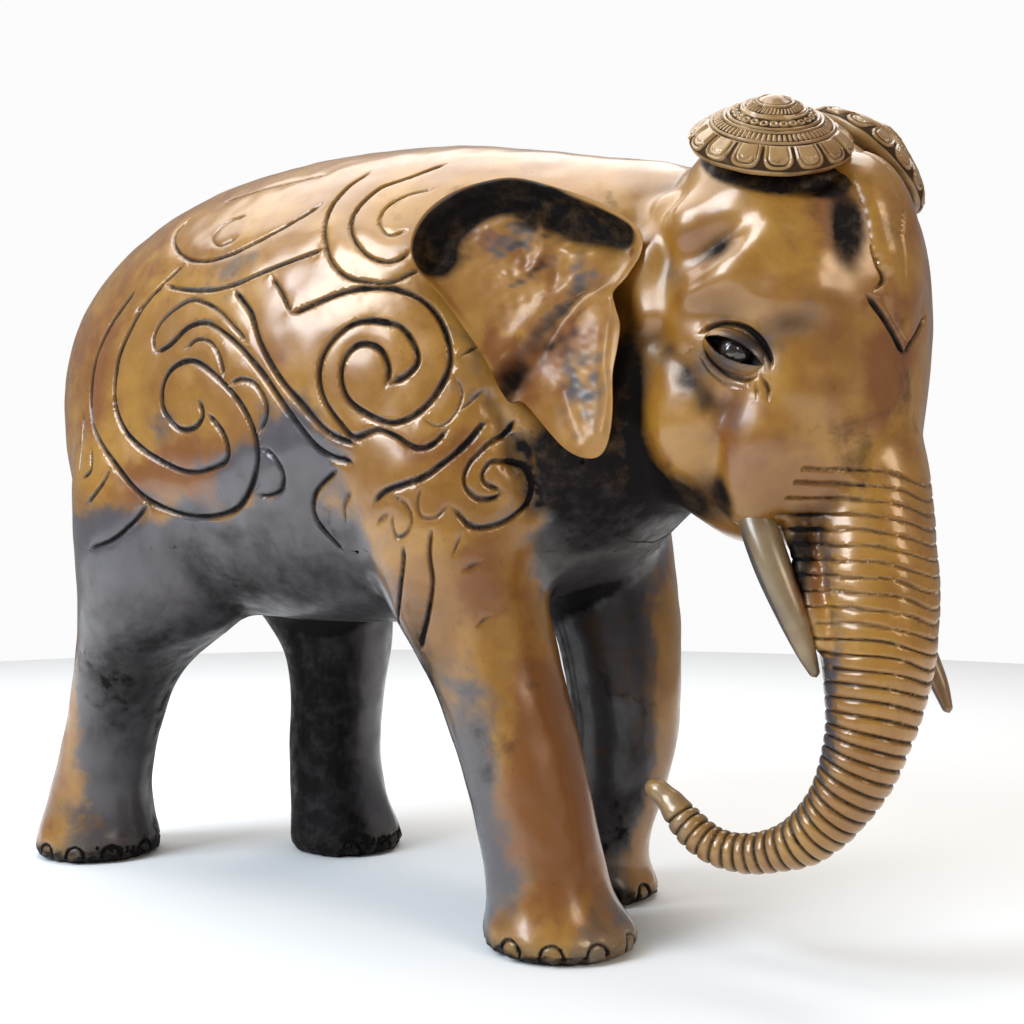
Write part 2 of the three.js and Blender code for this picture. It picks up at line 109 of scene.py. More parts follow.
def ripples(places, seed, shortest, longest, count=18):
    """Smooth noise of about unit size, from waves between two wavelengths."""
    random = np.random.default_rng(seed)
    total = 0
    for _ in range(count):
        direction = random.normal(size=places.shape[1])
        direction /= np.linalg.norm(direction)
        wavelength = random.uniform(shortest, longest)
        total = total + np.sin(places @ direction * 2 * math.pi / wavelength + random.uniform(0, 6.28))
    return total * math.sqrt(2 / count)


def smooth(low, high, values):
    """0 below low, 1 above high, smooth between; it falls instead where low is above high."""
    t = np.clip((values - low) / (high - low), 0, 1)
    return t * t * (3 - 2 * t)


def bell(values, width):
    """1 at zero, falling away smoothly on both sides."""
    return np.exp(-((values / width) ** 2))


# ---- the carved mass ----------------------------------------------------------------------------


class Grid:
    """A box of voxels in the carver's frame."""

    def __init__(self, low, high, voxel):
        self.voxel = voxel
        self.first = np.floor(np.array(low) / voxel).astype(int)
        self.shape = tuple(np.ceil(np.array(high) / voxel).astype(int) - self.first + 1)
        axes = [(self.first[i] + np.arange(self.shape[i])) * voxel for i in range(3)]
        self.axes = axes
        self.places = np.meshgrid(*axes, indexing="ij", sparse=True)

    def distance(self, points, triangles, band):
        """Signed distance from a closed surface, out to band."""
        level_set = openvdb.FloatGrid.createLevelSetFromPolygons(
            points.astype(np.float32),
            triangles.astype(np.uint32),
            transform=openvdb.createLinearTransform(self.voxel),
            halfWidth=band / self.voxel,
        )
        values = np.empty(self.shape, np.float32)
        level_set.copyToArray(values, ijk=tuple(int(i) for i in self.first))
        return values

    def surface(self, values):
        """The surface where values pass zero, as points and triangles."""
        closed = np.pad(values[1:-1, 1:-1, 1:-1], 1, constant_values=self.voxel)
        level_set = openvdb.FloatGrid(float(closed.max()))
        level_set.copyFromArray(closed, ijk=tuple(int(i) for i in self.first))
        level_set.transform = openvdb.createLinearTransform(self.voxel)
        points, quads = level_set.convertToQuads(0.0)
        quads = quads.astype(int)
        first = np.linalg.norm(points[quads[:, 0]] - points[quads[:, 2]], axis=1)
        second = np.linalg.norm(points[quads[:, 1]] - points[quads[:, 3]], axis=1)
        turned = np.where((first < second)[:, None], quads, np.roll(quads, -1, axis=1))
        return points.astype(float), outward(points, halved(turned))

    def sample(self, values, points):
        """Values at points, by trilinear interpolation."""
        place = (points / self.voxel) - self.first
        place = np.clip(place, 0, np.array(self.shape) - 1.001)
        cell = place.astype(int)
        part = place - cell
        total = np.zeros(len(points))
        for corner in np.ndindex(2, 2, 2):
            share = np.prod(np.where(corner, part, 1 - part), axis=1)
            i, j, k = (cell + corner).T
            total += share * values[i, j, k]
        return total


def volume(points, triangles):
    """The volume inside a closed surface, below zero if it is inside out."""
    a, b, c = (points[triangles[:, corner]] for corner in range(3))
    return np.einsum("ij,ij->i", a, np.cross(b, c)).sum() / 6


def outward(points, triangles):
    """The triangles of a closed surface, turned if need be to face outward."""
    return triangles[:, ::-1] if volume(points, triangles) < 0 else triangles


def halved(quads):
    """Two triangles for each quad."""
    return np.vstack([quads[:, [0, 1, 2]], quads[:, [0, 2, 3]]])


def longer(values, points):
    """Values for every point, with zero for the points that were made since."""
    return np.concatenate([values, np.zeros(len(points) - len(values))])


def mean_edge(points, triangles):
    """The mean length of the triangles' first edges."""
    return np.linalg.norm(points[triangles[:, 0]] - points[triangles[:, 1]], axis=1).mean()


def tree_of(samples):
    """A tree that finds the nearest of some samples."""
    tree = KDTree(len(samples))
    for n, sample in enumerate(samples):
        tree.insert(sample, n)
    tree.balance()
    return tree


def blurred(values, sigma):
    """A Gaussian blur, with sigma in voxels."""
    reach = max(1, math.ceil(3 * sigma))
    offsets = np.arange(-reach, reach + 1)
    weights = np.exp(-0.5 * (offsets / sigma) ** 2)
    weights /= weights.sum()
    for axis in range(3):
        room = [(reach, reach) if a == axis else (0, 0) for a in range(3)]
        padded = np.pad(values, room, mode="edge")
        size = values.shape[axis]
        values = sum(
            np.float32(w) * np.take(padded, range(i, i + size), axis)
            for i, w in enumerate(weights)
        )
    return values


def node_mesh(node):
    """A CAD node's points and triangles in the carver's frame."""
    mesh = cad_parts[node].data
    mesh.calc_loop_triangles()
    points = np.empty(len(mesh.vertices) * 3, np.float32)
    mesh.vertices.foreach_get("co", points)
    triangles = np.empty(len(mesh.loop_triangles) * 3, np.int32)
    mesh.loop_triangles.foreach_get("vertices", triangles)
    return points.reshape(-1, 3) * METRE - [SHIFT, 0, 0], triangles.reshape(-1, 3)


CLOSING = 0.6  # the blocks swell by this to close their glue lines, then shrink back
# How far facets are rubbed away: on the torso, on the limbs, and at the trunk and the feet
TORSO_SOFTNESS = 8.0
LIMB_SOFTNESS = 4.5
FINE_SOFTNESS = 2.2
EAR_PEG_HOLE = ((143, -22, 290), (136, -58, 290), 4.6)  # from, to and radius; filled in the carving


def carved_mass(grid, nodes, band):
    """The blocks as one mass, with glue lines closed and facets rubbed away."""
    gathered = np.minimum.reduce([grid.distance(*node_mesh(n), band) for n in nodes]) - CLOSING
    start, end, radius = EAR_PEG_HOLE
    for side in (1, -1):
        hole = np.array([1, side, 1])
        fill_capsule(grid, gathered, start * hole, end * hole, radius, 1)
    mass = grid.distance(*grid.surface(gathered), band) + CLOSING
    fine = blurred(mass, FINE_SOFTNESS / grid.voxel)
    limb = blurred(fine, math.sqrt(LIMB_SOFTNESS**2 - FINE_SOFTNESS**2) / grid.voxel)
    x, _, z = grid.places
    at_trunk = smooth(196, 216, x) * smooth(215, 190, z)
    at_foot = smooth(26, 14, z)
    at_tip = np.maximum(at_trunk, at_foot)
    form = limb + (fine - limb) * at_tip
    if band > 3 * TORSO_SOFTNESS:
        torso = blurred(limb, math.sqrt(TORSO_SOFTNESS**2 - LIMB_SOFTNESS**2) / grid.voxel)
        at_torso = smooth(130, 175, z) * smooth(135, 95, x)
        form = form + (torso - form) * at_torso
    return form


# ---- sculpting ----------------------------------------------------------------------------------


def part_near(grid, low, high):
    """The slices of the grid between two corners, and the places in them."""
    slices = []
    for i in range(3):
        first = int(np.searchsorted(grid.axes[i], low[i]))
        slices.append(slice(first, max(first, int(np.searchsorted(grid.axes[i], high[i])))))
    places = np.meshgrid(*[grid.axes[i][slices[i]] for i in range(3)], indexing="ij", sparse=True)
    return tuple(slices), places


def melt(a, b, blend):
    """The lower of two distances, rounded where they are alike."""
    share = np.maximum(blend - np.abs(a - b), 0) / blend
    return np.minimum(a, b) - share**2 * blend / 4


def work_in(values, slices, shape, blend, cut):
    """Melts a shape into part of the grid, or cuts it out."""
    part = values[slices]
    if part.size:
        values[slices] = -melt(-part, shape, blend) if cut else melt(part, shape, blend)


def fill_capsule(grid, values, start, end, radius, blend, cut=False):
    """Adds or cuts a straight round-ended bar."""
    start, end = np.array(start, float), np.array(end, float)
    room = radius + 2 * blend
    slices, (x, y, z) = part_near(grid, np.minimum(start, end) - room, np.maximum(start, end) + room)
    axis = end - start
    t = ((x - start[0]) * axis[0] + (y - start[1]) * axis[1] + (z - start[2]) * axis[2])
    t = np.clip(t / (axis @ axis), 0, 1)
    gap = (x - start[0] - t * axis[0]) ** 2 + (y - start[1] - t * axis[1]) ** 2
    shape = np.sqrt(gap + (z - start[2] - t * axis[2]) ** 2) - radius
    work_in(values, slices, shape, blend, cut)


def bar(grid, values, points, radius, blend, cut=False):
    """Adds or cuts a round bar along a line of points."""
    for start, end in zip(points[:-1], points[1:]):
        fill_capsule(grid, values, start, end, radius, blend, cut)


def lump(grid, values, centre, radii, blend, cut=False, tilt=0):
    """Adds or cuts an ellipsoid, tilted about Y by some degrees."""
    room = max(radii) + 2 * blend
    slices, (x, y, z) = part_near(grid, np.array(centre) - room, np.array(centre) + room)
    c, s = math.cos(math.radians(tilt)), math.sin(math.radians(tilt))
    along = c * (x - centre[0]) + s * (z - centre[2])
    up = -s * (x - centre[0]) + c * (z - centre[2])
    across = y - centre[1]
    near = np.sqrt((along / radii[0]) ** 2 + (across / radii[1]) ** 2 + (up / radii[2]) ** 2)
    far = np.sqrt(
        (along / radii[0] ** 2) ** 2 + (across / radii[1] ** 2) ** 2 + (up / radii[2] ** 2) ** 2
    )
    shape = near * (near - 1) / np.maximum(far, 1e-6)
    work_in(values, slices, shape, blend, cut)


def work_both_sides(grid, form, works):
    """Does each piece of work in turn: tool, place on the left side, size, blend and settings."""
    for side in (-1, 1):
        for tool, place, size, blend, settings in works:
            tool(grid, form, np.array(place) * [1, side, 1], size, blend, **settings)


# The caps, each at its own tilt as the carver set it: the middle of its base, and its axis
CAPS = {
    "head_cap_right": ((194, -35, 334), (0.313, -0.464, 0.829)),
    "head_cap_left": ((204, 38.5, 341), (0.57, 0.36, 0.75)),
}
UNDERCUT_RADIUS = 31
UNDERCUT_DEPTH = 3.6
UNDERCUT_BLEND = 2
UNDERCUT_DROP = 2.5  # how far below a cap's base the cut is deepest
UNDERCUT_END = (33, 40)  # distances from the middle plane between which the cut fades in


def cap_place(places, base, tilt):
    """How far places lie from a cap's axis, and how far above its base."""
    tilt = np.array(tilt) / np.linalg.norm(tilt)
    arm = [place - start for place, start in zip(places, base)]
    up = sum(a * t for a, t in zip(arm, tilt))
    out = np.sqrt(np.maximum(sum(a * a for a in arm) - up**2, 0))
    return out, up


def cut_ring(grid, values, base, tilt):
    """Cuts the deep groove under a cap's rim."""
    room = UNDERCUT_RADIUS + 3 * UNDERCUT_DEPTH
    slices, places = part_near(grid, np.array(base) - room, np.array(base) + room)
    out, up = cap_place(places, base, tilt)
    depth = UNDERCUT_DEPTH * smooth(*UNDERCUT_END, np.abs(places[1]))
    shape = np.sqrt((out - UNDERCUT_RADIUS) ** 2 + (up + UNDERCUT_DROP) ** 2) - depth
    work_in(values, slices, shape, UNDERCUT_BLEND, True)


CUT = {"cut": True}
ADD = {}
HEAD_WORKS = [
    # temple hollow, brow and the rise behind it
    (lump, (180, 67.5, 292), (17, 12, 11), 10, {"cut": True, "tilt": 25}),
    (bar, [(172, 53.5, 277), (186, 54.5, 283), (203, 52, 297)], 4, 11, ADD),
    (lump, (166, 49, 306), (10, 7, 9), 9, ADD),
    # the swelling before the eye, and the hollow under the eye
    (lump, (203, 45, 274), (18, 11, 10), 12, ADD),
    (lump, (186, 62.5, 266), (20, 6, 6), 6, {"cut": True, "tilt": -10}),
    # furrows behind the eye and along the jaw
    (bar, [(150, 56.5, 262), (163, 60.5, 248), (176, 62, 236)], 4.5, 8, CUT),
    (bar, [(192, 61, 238), (183, 58.5, 228), (178, 56, 214), (176, 51, 197), (178, 42, 184)], 3.8, 8, CUT),
    # jaw, muzzle and the tusk's root
    (lump, (160, 42, 226), (15, 11, 19), 12, ADD),
    (bar, [(204, 42, 236), (196, 41, 216), (190, 38, 200)], 11, 14, ADD),
    (lump, (187, 37, 192), (10, 9, 9), 5, ADD),
    # the neck's edge before the ear
    (bar, [(150, 40, 316), (147, 44, 296), (147, 46, 272)], 4.5, 10, ADD),
]


def sculpt_head(grid, form):
    """Brow, temple, cheek and muzzle, the same on both sides, and the cuts under the caps."""
    work_both_sides(grid, form, HEAD_WORKS)
    for base, tilt in CAPS.values():
        cut_ring(grid, form, base, tilt)
    sculpt_webs(grid, form)


TRUNK_TIP = [(147, -29.5, 67), (141, -29.5, 70.2), (138, -29.2, 71.2)]
TRUNK_TIP_RADIUS = 3.4
RIGHT_WEB = [(203, -29, 194), (205, -32, 180), (209, -34, 164), (213, -35, 150), (217, -36, 138)]
LEFT_WEB = [(206, 26, 186), (214, 22, 168)]


def sculpt_webs(grid, form):
    """Wood left standing between each tusk and the trunk."""
    bar(grid, form, RIGHT_WEB, 4.6, 4)
    bar(grid, form, LEFT_WEB, 4.5, 5)


BODY_WORKS = [
    # the hollow behind the shoulder, and the shoulder's hard rear edge
    (lump, (2, 104, 176), (24, 13, 34), 16, {"cut": True, "tilt": -8}),
    (bar, [(19, 95, 212), (27, 94, 192), (29, 90, 166), (26, 80, 146)], 3.0, 5, CUT),
    # the fold before the haunch, and the belly's hollow
    (bar, [(-57, 93, 188), (-56, 88, 174), (-62, 74, 156)], 2.4, 7, CUT),
    (lump, (-40, 98, 160), (26, 12, 22), 16, CUT),
    # the shoulder's front edge
    (bar, [(84, 74, 236), (92, 66, 214), (96, 58, 190)], 3.0, 9, CUT),
]
LEG_WORKS = [
    # the hollow behind the elbow
    (bar, [(26, 50, 140), (44, 52, 118)], 5, 10, CUT),
]


# ---- meshes -------------------------------------------------------------------------------------


def normals_of(points, triangles):
    """The way a mesh faces at each of its points."""
    corners = points[triangles]
    facing = np.cross(corners[:, 1] - corners[:, 0], corners[:, 2] - corners[:, 0])
    total = np.zeros_like(points)
    for axis in range(3):
        for corner in range(3):
            total[:, axis] += np.bincount(triangles[:, corner], facing[:, axis], len(points))
    return total / np.maximum(np.linalg.norm(total, axis=1, keepdims=True), 1e-12)


def refined(points, triangles, wanted):
    """Splits the triangles that touch a wanted point into four, and fits their neighbours to them."""
    corners = triangles[:, [0, 1, 1, 2, 2, 0]].reshape(-1, 2)
    keys = corners.min(1) * len(points) + corners.max(1)
    unique, edge_of = np.unique(keys, return_inverse=True)
    edge_of = edge_of.reshape(-1, 3)
    split = np.zeros(len(unique), bool)
    split[edge_of[wanted[triangles].any(1)]] = True
    number = np.where(split, np.cumsum(split) - 1 + len(points), -1)
    ends = unique[split]
    middles = (points[ends // len(points)] + points[ends % len(points)]) / 2
    marks = number[edge_of]
    made = []
    splits = (marks >= 0).sum(1)
    made.append(triangles[splits == 0])
    for turn in range(3):
        t = np.roll(triangles, -turn, axis=1)
        m = np.roll(marks, -turn, axis=1)
        one = (splits == 1) & (m[:, 0] >= 0)
        a, b, c = t[one].T
        ab = m[one, 0]
        made += [np.stack([a, ab, c], 1), np.stack([ab, b, c], 1)]
        two = (splits == 2) & (m[:, 2] < 0)
        a, b, c = t[two].T
        ab, bc = m[two, 0], m[two, 1]
        made += [np.stack([ab, b, bc], 1), np.stack([a, ab, bc], 1), np.stack([a, bc, c], 1)]
    four = splits == 3
    a, b, c = triangles[four].T
    ab, bc, ca = marks[four].T
    made += [np.stack(p, 1) for p in ((a, ab, ca), (ab, b, bc), (ca, bc, c), (ab, bc, ca))]
    return np.vstack([points, middles]), np.vstack(made)


def nearest(points, samples, reach):
    """For each point, the number of its nearest sample and how far it is, or reach when further."""
    number = np.zeros(len(points), int)
    away = np.full(len(points), float(reach))
    if not len(samples):
        return number, away
    cell = reach
    low = np.minimum(points.min(0), samples.min(0)) - 2 * cell
    shape = ((np.maximum(points.max(0), samples.max(0)) - low) / cell).astype(int) + 3
    busy = np.zeros(shape, bool)
    at = ((samples - low) / cell).astype(int)
    for step in np.ndindex(3, 3, 3):
        i, j, k = (at + step - 1).T
        busy[i, j, k] = True
    i, j, k = ((points - low) / cell).astype(int).T
    tree = tree_of(samples)
    for n in np.flatnonzero(busy[i, j, k]):
        _, which, gap = tree.find(points[n])
        if gap < reach:
            number[n], away[n] = which, gap
    return number, away


def add_object(name, data):
    """An object in the scene."""
    obj = bpy.data.objects.new(name, data)
    bpy.context.scene.collection.objects.link(obj)
    return obj


def mesh_object(name, points, faces, fields=None, sharp=35):
    """An object in the shared frame, from points in the carver's frame."""
    mesh = bpy.data.meshes.new(name)
    points = (np.asarray(points, float) + [SHIFT, 0, 0]) / METRE
    faces = np.asarray(faces)
    sides = faces.shape[1]
    mesh.vertices.add(len(points))
    mesh.vertices.foreach_set("co", points.astype(np.float32).ravel())
    mesh.loops.add(faces.size)
    mesh.loops.foreach_set("vertex_index", faces.astype(np.int32).ravel())
    mesh.polygons.add(len(faces))
    mesh.polygons.foreach_set("loop_start", np.arange(0, faces.size, sides, dtype=np.int32))
    mesh.update(calc_edges=True)
    mesh.validate()
    mesh.shade_smooth()
    mesh.set_sharp_from_angle(angle=math.radians(sharp))
    obj = add_object(name, mesh)
    for field, values in (fields or {}).items():
        set_field(obj, field, values)
    return obj


def set_field(obj, name, values):
    """Stores a value for each point of an object, under a name that its material can read."""
    field = obj.data.attributes.get(name) or obj.data.attributes.new(name, "FLOAT", "POINT")
    field.data.foreach_set("value", np.asarray(values, np.float32))


def points_of(obj):
    """An object's points in the carver's frame."""
    points = np.empty(len(obj.data.vertices) * 3, np.float32)
    obj.data.vertices.foreach_get("co", points)
    return points.reshape(-1, 3).astype(float) * METRE - [SHIFT, 0, 0]


def cut_to(obj, outline, across):
    """Keeps the part of obj inside an outline in side view, between two values of Y."""
    outline = np.array(outline, float)
    count = len(outline)
    points = [(x, y, z) for y in across for x, z in outline]
    prism = bpy.data.meshes.new("room")
    faces = [list(range(count))[::-1], list(range(count, 2 * count))]
    faces += [[i, (i + 1) % count, count + (i + 1) % count, count + i] for i in range(count)]
    corners = (np.array(points) + [SHIFT, 0, 0]) / METRE
    prism.from_pydata(corners.tolist(), [], faces)
    room = add_object("room", prism)
    cutter = obj.modifiers.new("cut", "BOOLEAN")
    cutter.operation = "INTERSECT"
    cutter.solver = "MANIFOLD"
    cutter.object = room
    graph = bpy.context.evaluated_depsgraph_get()
    cut = bpy.data.meshes.new_from_object(obj.evaluated_get(graph))
    obj.modifiers.clear()
    old = obj.data
    obj.data = cut
    bpy.data.meshes.remove(old)
    bpy.data.objects.remove(room)
    cut.set_sharp_from_angle(angle=math.radians(35))
    cut.calc_loop_triangles()
    if volume(points_of(obj), np.array([tuple(t.vertices) for t in cut.loop_triangles])) < 0:
        cut.flip_normals()
    return obj


# ---- strokes of the gouge -----------------------------------------------------------------------

# Scrolls on the flank, drawn in side view as (x, z): width, depth and points
THICK = (3.4, 1.5)
MEDIUM = (2.7, 1.2)
THIN = (2.0, 0.8)
SCROLLS = [
    # hip spiral, from its heart outward and up over the rump
    (THICK, [(-71, 243), (-68, 236), (-74, 230), (-86, 230), (-97, 240), (-97, 252), (-89, 260),
             (-76, 262), (-62, 256), (-44, 242), (-34, 226), (-35, 209), (-50, 192), (-79, 187),
             (-110, 194), (-133, 214), (-155, 234), (-161, 250), (-158, 269), (-146, 289), (-131, 303)]),
    (THICK, [(-64, 236), (-54, 226), (-52, 216), (-60, 211), (-83, 209), (-111, 219), (-128, 231),
             (-137, 245), (-137, 264), (-131, 278), (-120, 293), (-106, 304)]),
    # the two bands that flow from the hip under the shoulder
    (THICK, [(-104, 268), (-94, 271), (-80, 279), (-65, 279), (-45, 268), (-27, 252), (-10, 232),
             (5, 216), (21, 211)]),
    (MEDIUM, [(-104, 268), (-106, 276), (-101, 284), (-90, 290), (-78, 292), (-60, 285), (-46, 275),
              (-38, 268)]),
    (THICK, [(-50, 293), (-38, 282), (-29, 266), (-18, 251), (-2, 235), (10, 224), (23, 219)]),
    (MEDIUM, [(-81, 268), (-73, 272), (-63, 270), (-56, 263), (-52, 252)]),
    (MEDIUM, [(-49, 249), (-41, 251), (-32, 248), (-26, 240), (-26, 233), (-31, 226)]),
    # clouds along the back
    (MEDIUM, [(-104, 302), (-87, 298), (-69, 296), (-50, 297), (-30, 302), (-1, 309)]),
    (MEDIUM, [(-12, 333), (-30, 323), (-50, 316), (-68, 312), (-86, 313), (-102, 319), (-113, 327),
              (-117, 334), (-112, 341)]),
    (THIN, [(-90, 347), (-58, 350), (-25, 352)]),
    (THIN, [(-62, 334), (-74, 332), (-80, 325), (-72, 319), (-60, 322)]),
    (MEDIUM, [(-95, 312), (-108, 303), (-126, 290)]),
    # strokes over the thigh
    (MEDIUM, [(-30, 219), (-23, 215), (-19, 208), (-21, 200), (-28, 197), (-36, 197)]),
    (MEDIUM, [(-169, 243), (-167, 228), (-165, 210)]),
    (MEDIUM, [(-154, 223), (-152, 212), (-160, 207)]),
    (MEDIUM, [(-136, 212), (-142, 204), (-155, 193)]),
    (MEDIUM, [(-114, 193), (-123, 184), (-135, 176), (-153, 171)]),
    (MEDIUM, [(11, 208), (-3, 198), (-6, 186), (5, 171)]),
    (THIN, [(18, 199), (12, 192), (11, 184)]),
    # shoulder spiral
    (MEDIUM, [(-28, 298), (-20, 290), (-12, 279)]),
    (THICK, [(-12, 279), (1, 283), (16, 287), (29, 288), (43, 286), (56, 279), (64, 267), (67, 254),
             (63, 243), (55, 233), (44, 228), (32, 231), (21, 238), (17, 248), (19, 258), (27, 263),
             (36, 260), (40, 252), (39, 244)]),
    (THICK, [(41, 245), (48, 248), (53, 254), (51, 262), (44, 270), (29, 273), (18, 270), (8, 261),
             (5, 250), (8, 239), (16, 228), (23, 222), (35, 225), (45, 222), (54, 217), (61, 218),
             (67, 225)]),
    (THIN, [(69, 247), (72, 240), (70, 232), (64, 226), (57, 229)]),
    (THIN, [(70, 255), (77, 261)]),
    (THIN, [(71, 232), (80, 241)]),
    # loops that open towards the ear
    (MEDIUM, [(4, 349), (-3, 341), (-6, 330), (-3, 317), (6, 302), (16, 294), (27, 291), (38, 290),
              (52, 296)]),
    (MEDIUM, [(42, 349), (30, 343), (17, 338), (10, 327), (12, 316), (22, 305), (32, 300), (40, 300),
              (45, 304)]),
    (THIN, [(46, 334), (34, 332), (26, 326), (26, 318), (33, 312), (41, 314)]),
]

# Scrolls on the right foreleg, drawn in side view as (x, z). On the left they move with its leg.
LEG_SCROLLS = [
    (THICK, [(81, 228), (72, 216), (60, 205), (50, 201), (40, 198), (32, 193)]),
    (MEDIUM, [(91, 228), (81, 217), (75, 209), (74, 201), (78, 195), (83, 195), (86, 198)]),
    (MEDIUM, [(86, 198), (81, 201), (80, 206), (84, 211), (91, 209), (94, 202), (92, 194), (88, 187),
              (82, 183), (76, 183), (70, 191)]),
    (THIN, [(58, 200), (56, 193), (58, 187), (64, 187), (69, 193)]),
    (THIN, [(44, 197), (51, 192), (53, 186), (50, 180), (45, 178), (43, 183), (44, 188)]),
    (THIN, [(42, 189), (33, 184)]),
    (MEDIUM, [(62, 182), (60, 172), (60, 158), (55, 143), (47, 129)]),
    (MEDIUM, [(48, 174), (44, 160), (38, 148), (30, 138)]),
    (THIN, [(73, 180), (69, 170)]),
    (THIN, [(72, 164), (79, 168)]),
    (THIN, [(76, 140), (81, 145)]),
]
# How far the left foreleg stands ahead of the right one, by height
LEFT_LEG_LEAD = ((130, 22), (150, 21), (170, 17), (200, 0))
EYE = box_of("eye_right")[0] / 2 + box_of("eye_right")[1] / 2
EYE_RADIUS = (box_of("eye_right")[1][2] - box_of("eye_right")[0][2]) / 2
# Strokes round the eye, in side view as (x, z) from the eye's centre
FACE_STROKES = [
    ((3.0, 1.5), [(-14, 8.5), (-9, 10.8), (-3, 11.4), (5, 9), (11, 3.5), (14.5, -3), (15.5, -7)]),
    ((2.2, 1.0), [(-13, 3), (-9, -3.5), (-3, -8.6), (4, -11.2), (9.5, -10.2)]),
    ((1.6, 0.6), [(-15.5, 0), (-11, -7), (-4, -12.2), (3, -14.2)]),
    ((2.4, 1.1), [(11.5, -10), (14, -15), (14.5, -20)]),
    ((1.8, 0.7), [(9, -13), (10, -19)]),
    ((1.6, 0.4), [(-17, 3), (-23, 1)]),
]
# Strokes that end the strip down the forehead, in front view as (y, z)
FOREHEAD_STROKES = [
    ((3.2, 1.7), [(-36, 273), (-31, 266.5), (-26, 260), (-21, 254.5), (-17, 251.5)]),
    ((3.2, 1.7), [(-17, 251.5), (-12, 257), (-6, 263), (-1, 268)]),
    ((2.4, 1.1), [(-34, 292), (-32.5, 285), (-31, 279), (-33.5, 275)]),
]
# Toenails: each foot's middle as (x, y), the nails' bearings in degrees from straight ahead, and
# the arch round a nail as (degrees round the foot, height)
FEET = {
    "front_right": (98, -43),
    "front_left": (68, 38),
    "hind_right": (-206, -43),
    "hind_left": (-99, 45),
}
NAIL_BEARINGS = (-96, -62, -28, 8, 44)
NAIL_ARCH = [(-9, 1.2), (-8.4, 5), (-5.5, 8.2), (0, 9.4), (5.5, 8.2), (8.4, 5), (9, 1.2)]
NAIL_STROKE = (2.2, 1.0)
NAIL_START = 80  # nails are cast onto a foot from this far out
STROKE_SPACING = 0.5
STROKE_EDGE = 1.7  # half the width of the band that is refined along a stroke
STROKE_SEARCH = 8
STROKE_SINK = 0.3  # beside a stroke the surface sinks by this share of its depth
FLANK_Y = 200  # strokes are cast onto the flank from this far out


def cast(tree, starts, towards):
    """Drops points along a direction onto the surface, leaving out those that miss it."""
    hits = [tree.ray_cast(Vector(start), Vector(towards))[0] for start in starts]
    return np.array([hit[:] for hit in hits if hit is not None])


def stroke_rows(places, width, depth):
    """A stroke's places with its width and depth, narrowed towards its ends."""
    if len(places) < 3:
        return np.zeros((0, 5))
    along = lengths_along(places)
    taper = np.minimum(1, (np.minimum(along, along[-1] - along) + 1.2) / 5)
    return np.column_stack([places, width * (0.45 + 0.55 * taper), depth * taper])


def flank_strokes(tree, drawings, side, lead=None):
    """Strokes drawn in side view, cut into one flank."""
    for (width, depth), points in drawings:
        x, z = through(points, STROKE_SPACING).T
        x = x + (0 if lead is None else lead(z))
        starts = np.column_stack([x, 0 * x + side * FLANK_Y, z])
        yield stroke_rows(cast(tree, starts, (0, -side, 0)), width, depth)


def forehead_strokes(tree):
    """Strokes drawn in front view, cut into the forehead."""
    for (width, depth), points in FOREHEAD_STROKES:
        y, z = through(points, STROKE_SPACING).T
        yield stroke_rows(cast(tree, np.column_stack([0 * y + FAR, y, z]), (-1, 0, 0)), width, depth)


def nail_strokes(tree):
    """The arches round the toenails of all four feet."""
    line = through(NAIL_ARCH, 1.0)
    for foot, (x, y) in FEET.items():
        side = 1 if foot.endswith("left") else -1
        for bearing in NAIL_BEARINGS:
            turn = np.radians(line[:, 0] - side * bearing)
            out = np.column_stack([np.cos(turn), np.sin(turn)])
            starts = np.column_stack([x + NAIL_START * out[:, 0], y + NAIL_START * out[:, 1], line[:, 1]])
            places = []
            for start, arm in zip(starts, out):
                places += cast(tree, [start], (-arm[0], -arm[1], 0)).tolist()
            yield stroke_rows(np.array(places), *NAIL_STROKE)


def stroke_samples(tree, which):
    """Every stroke that a block may carry."""
    rows = []
    for side in (-1, 1):
        if which in ("body", "leg"):
            rows += flank_strokes(tree, SCROLLS, side)
            heights, leads = np.array(LEFT_LEG_LEAD, float).T
            lead = (lambda z: np.interp(z, heights, leads)) if side > 0 else None
            rows += flank_strokes(tree, LEG_SCROLLS, side, lead)
        if which == "head":
            face = [(size, np.array(points) + EYE[[0, 2]]) for size, points in FACE_STROKES]
            rows += flank_strokes(tree, face, side)
    if which == "head":
        rows += forehead_strokes(tree)
    if which == "leg":
        rows += nail_strokes(tree)
    return np.vstack(rows)


def gouge(away, width):
    """Depth of a V-gouge across its width, from 1 at its middle to 0 past its edges."""
    t = away / (width / 2)
    return np.clip(1.12 - t, 0, 1) ** 0.9 * smooth(1.3, 0.7, t)


def carve_strokes(points, triangles, samples, finest):
    """Refines a mesh along its strokes and sinks them. Returns the mesh and the depth at each point."""
    edge = mean_edge(points, triangles)
    while edge > finest:
        reach = STROKE_EDGE + edge / 2
        _, away = nearest(points, samples[:, :3], reach)
        points, triangles = refined(points, triangles, away < reach)
        edge /= 2
    facing = normals_of(points, triangles)
    number, away = nearest(points, samples[:, :3], STROKE_SEARCH)
    width, depth = samples[number, 3], samples[number, 4]
    cut = depth * gouge(away, width)
    sink = STROKE_SINK * depth * bell(away, 1.5 * width) * (away < STROKE_SEARCH)
    moved = points - facing * (cut + sink)[:, None]
    return moved, triangles, cut


# ---- eyelids ------------------------------------------------------------------------------------

EYE_AXIS = -28  # degrees that the eye slants down towards the front
LID_LENGTH = 14.5  # from the eye's middle to its corners
LID_RADIUS = 8.4
UPPER_OPENING = 3.4
LOWER_OPENING = 2.8


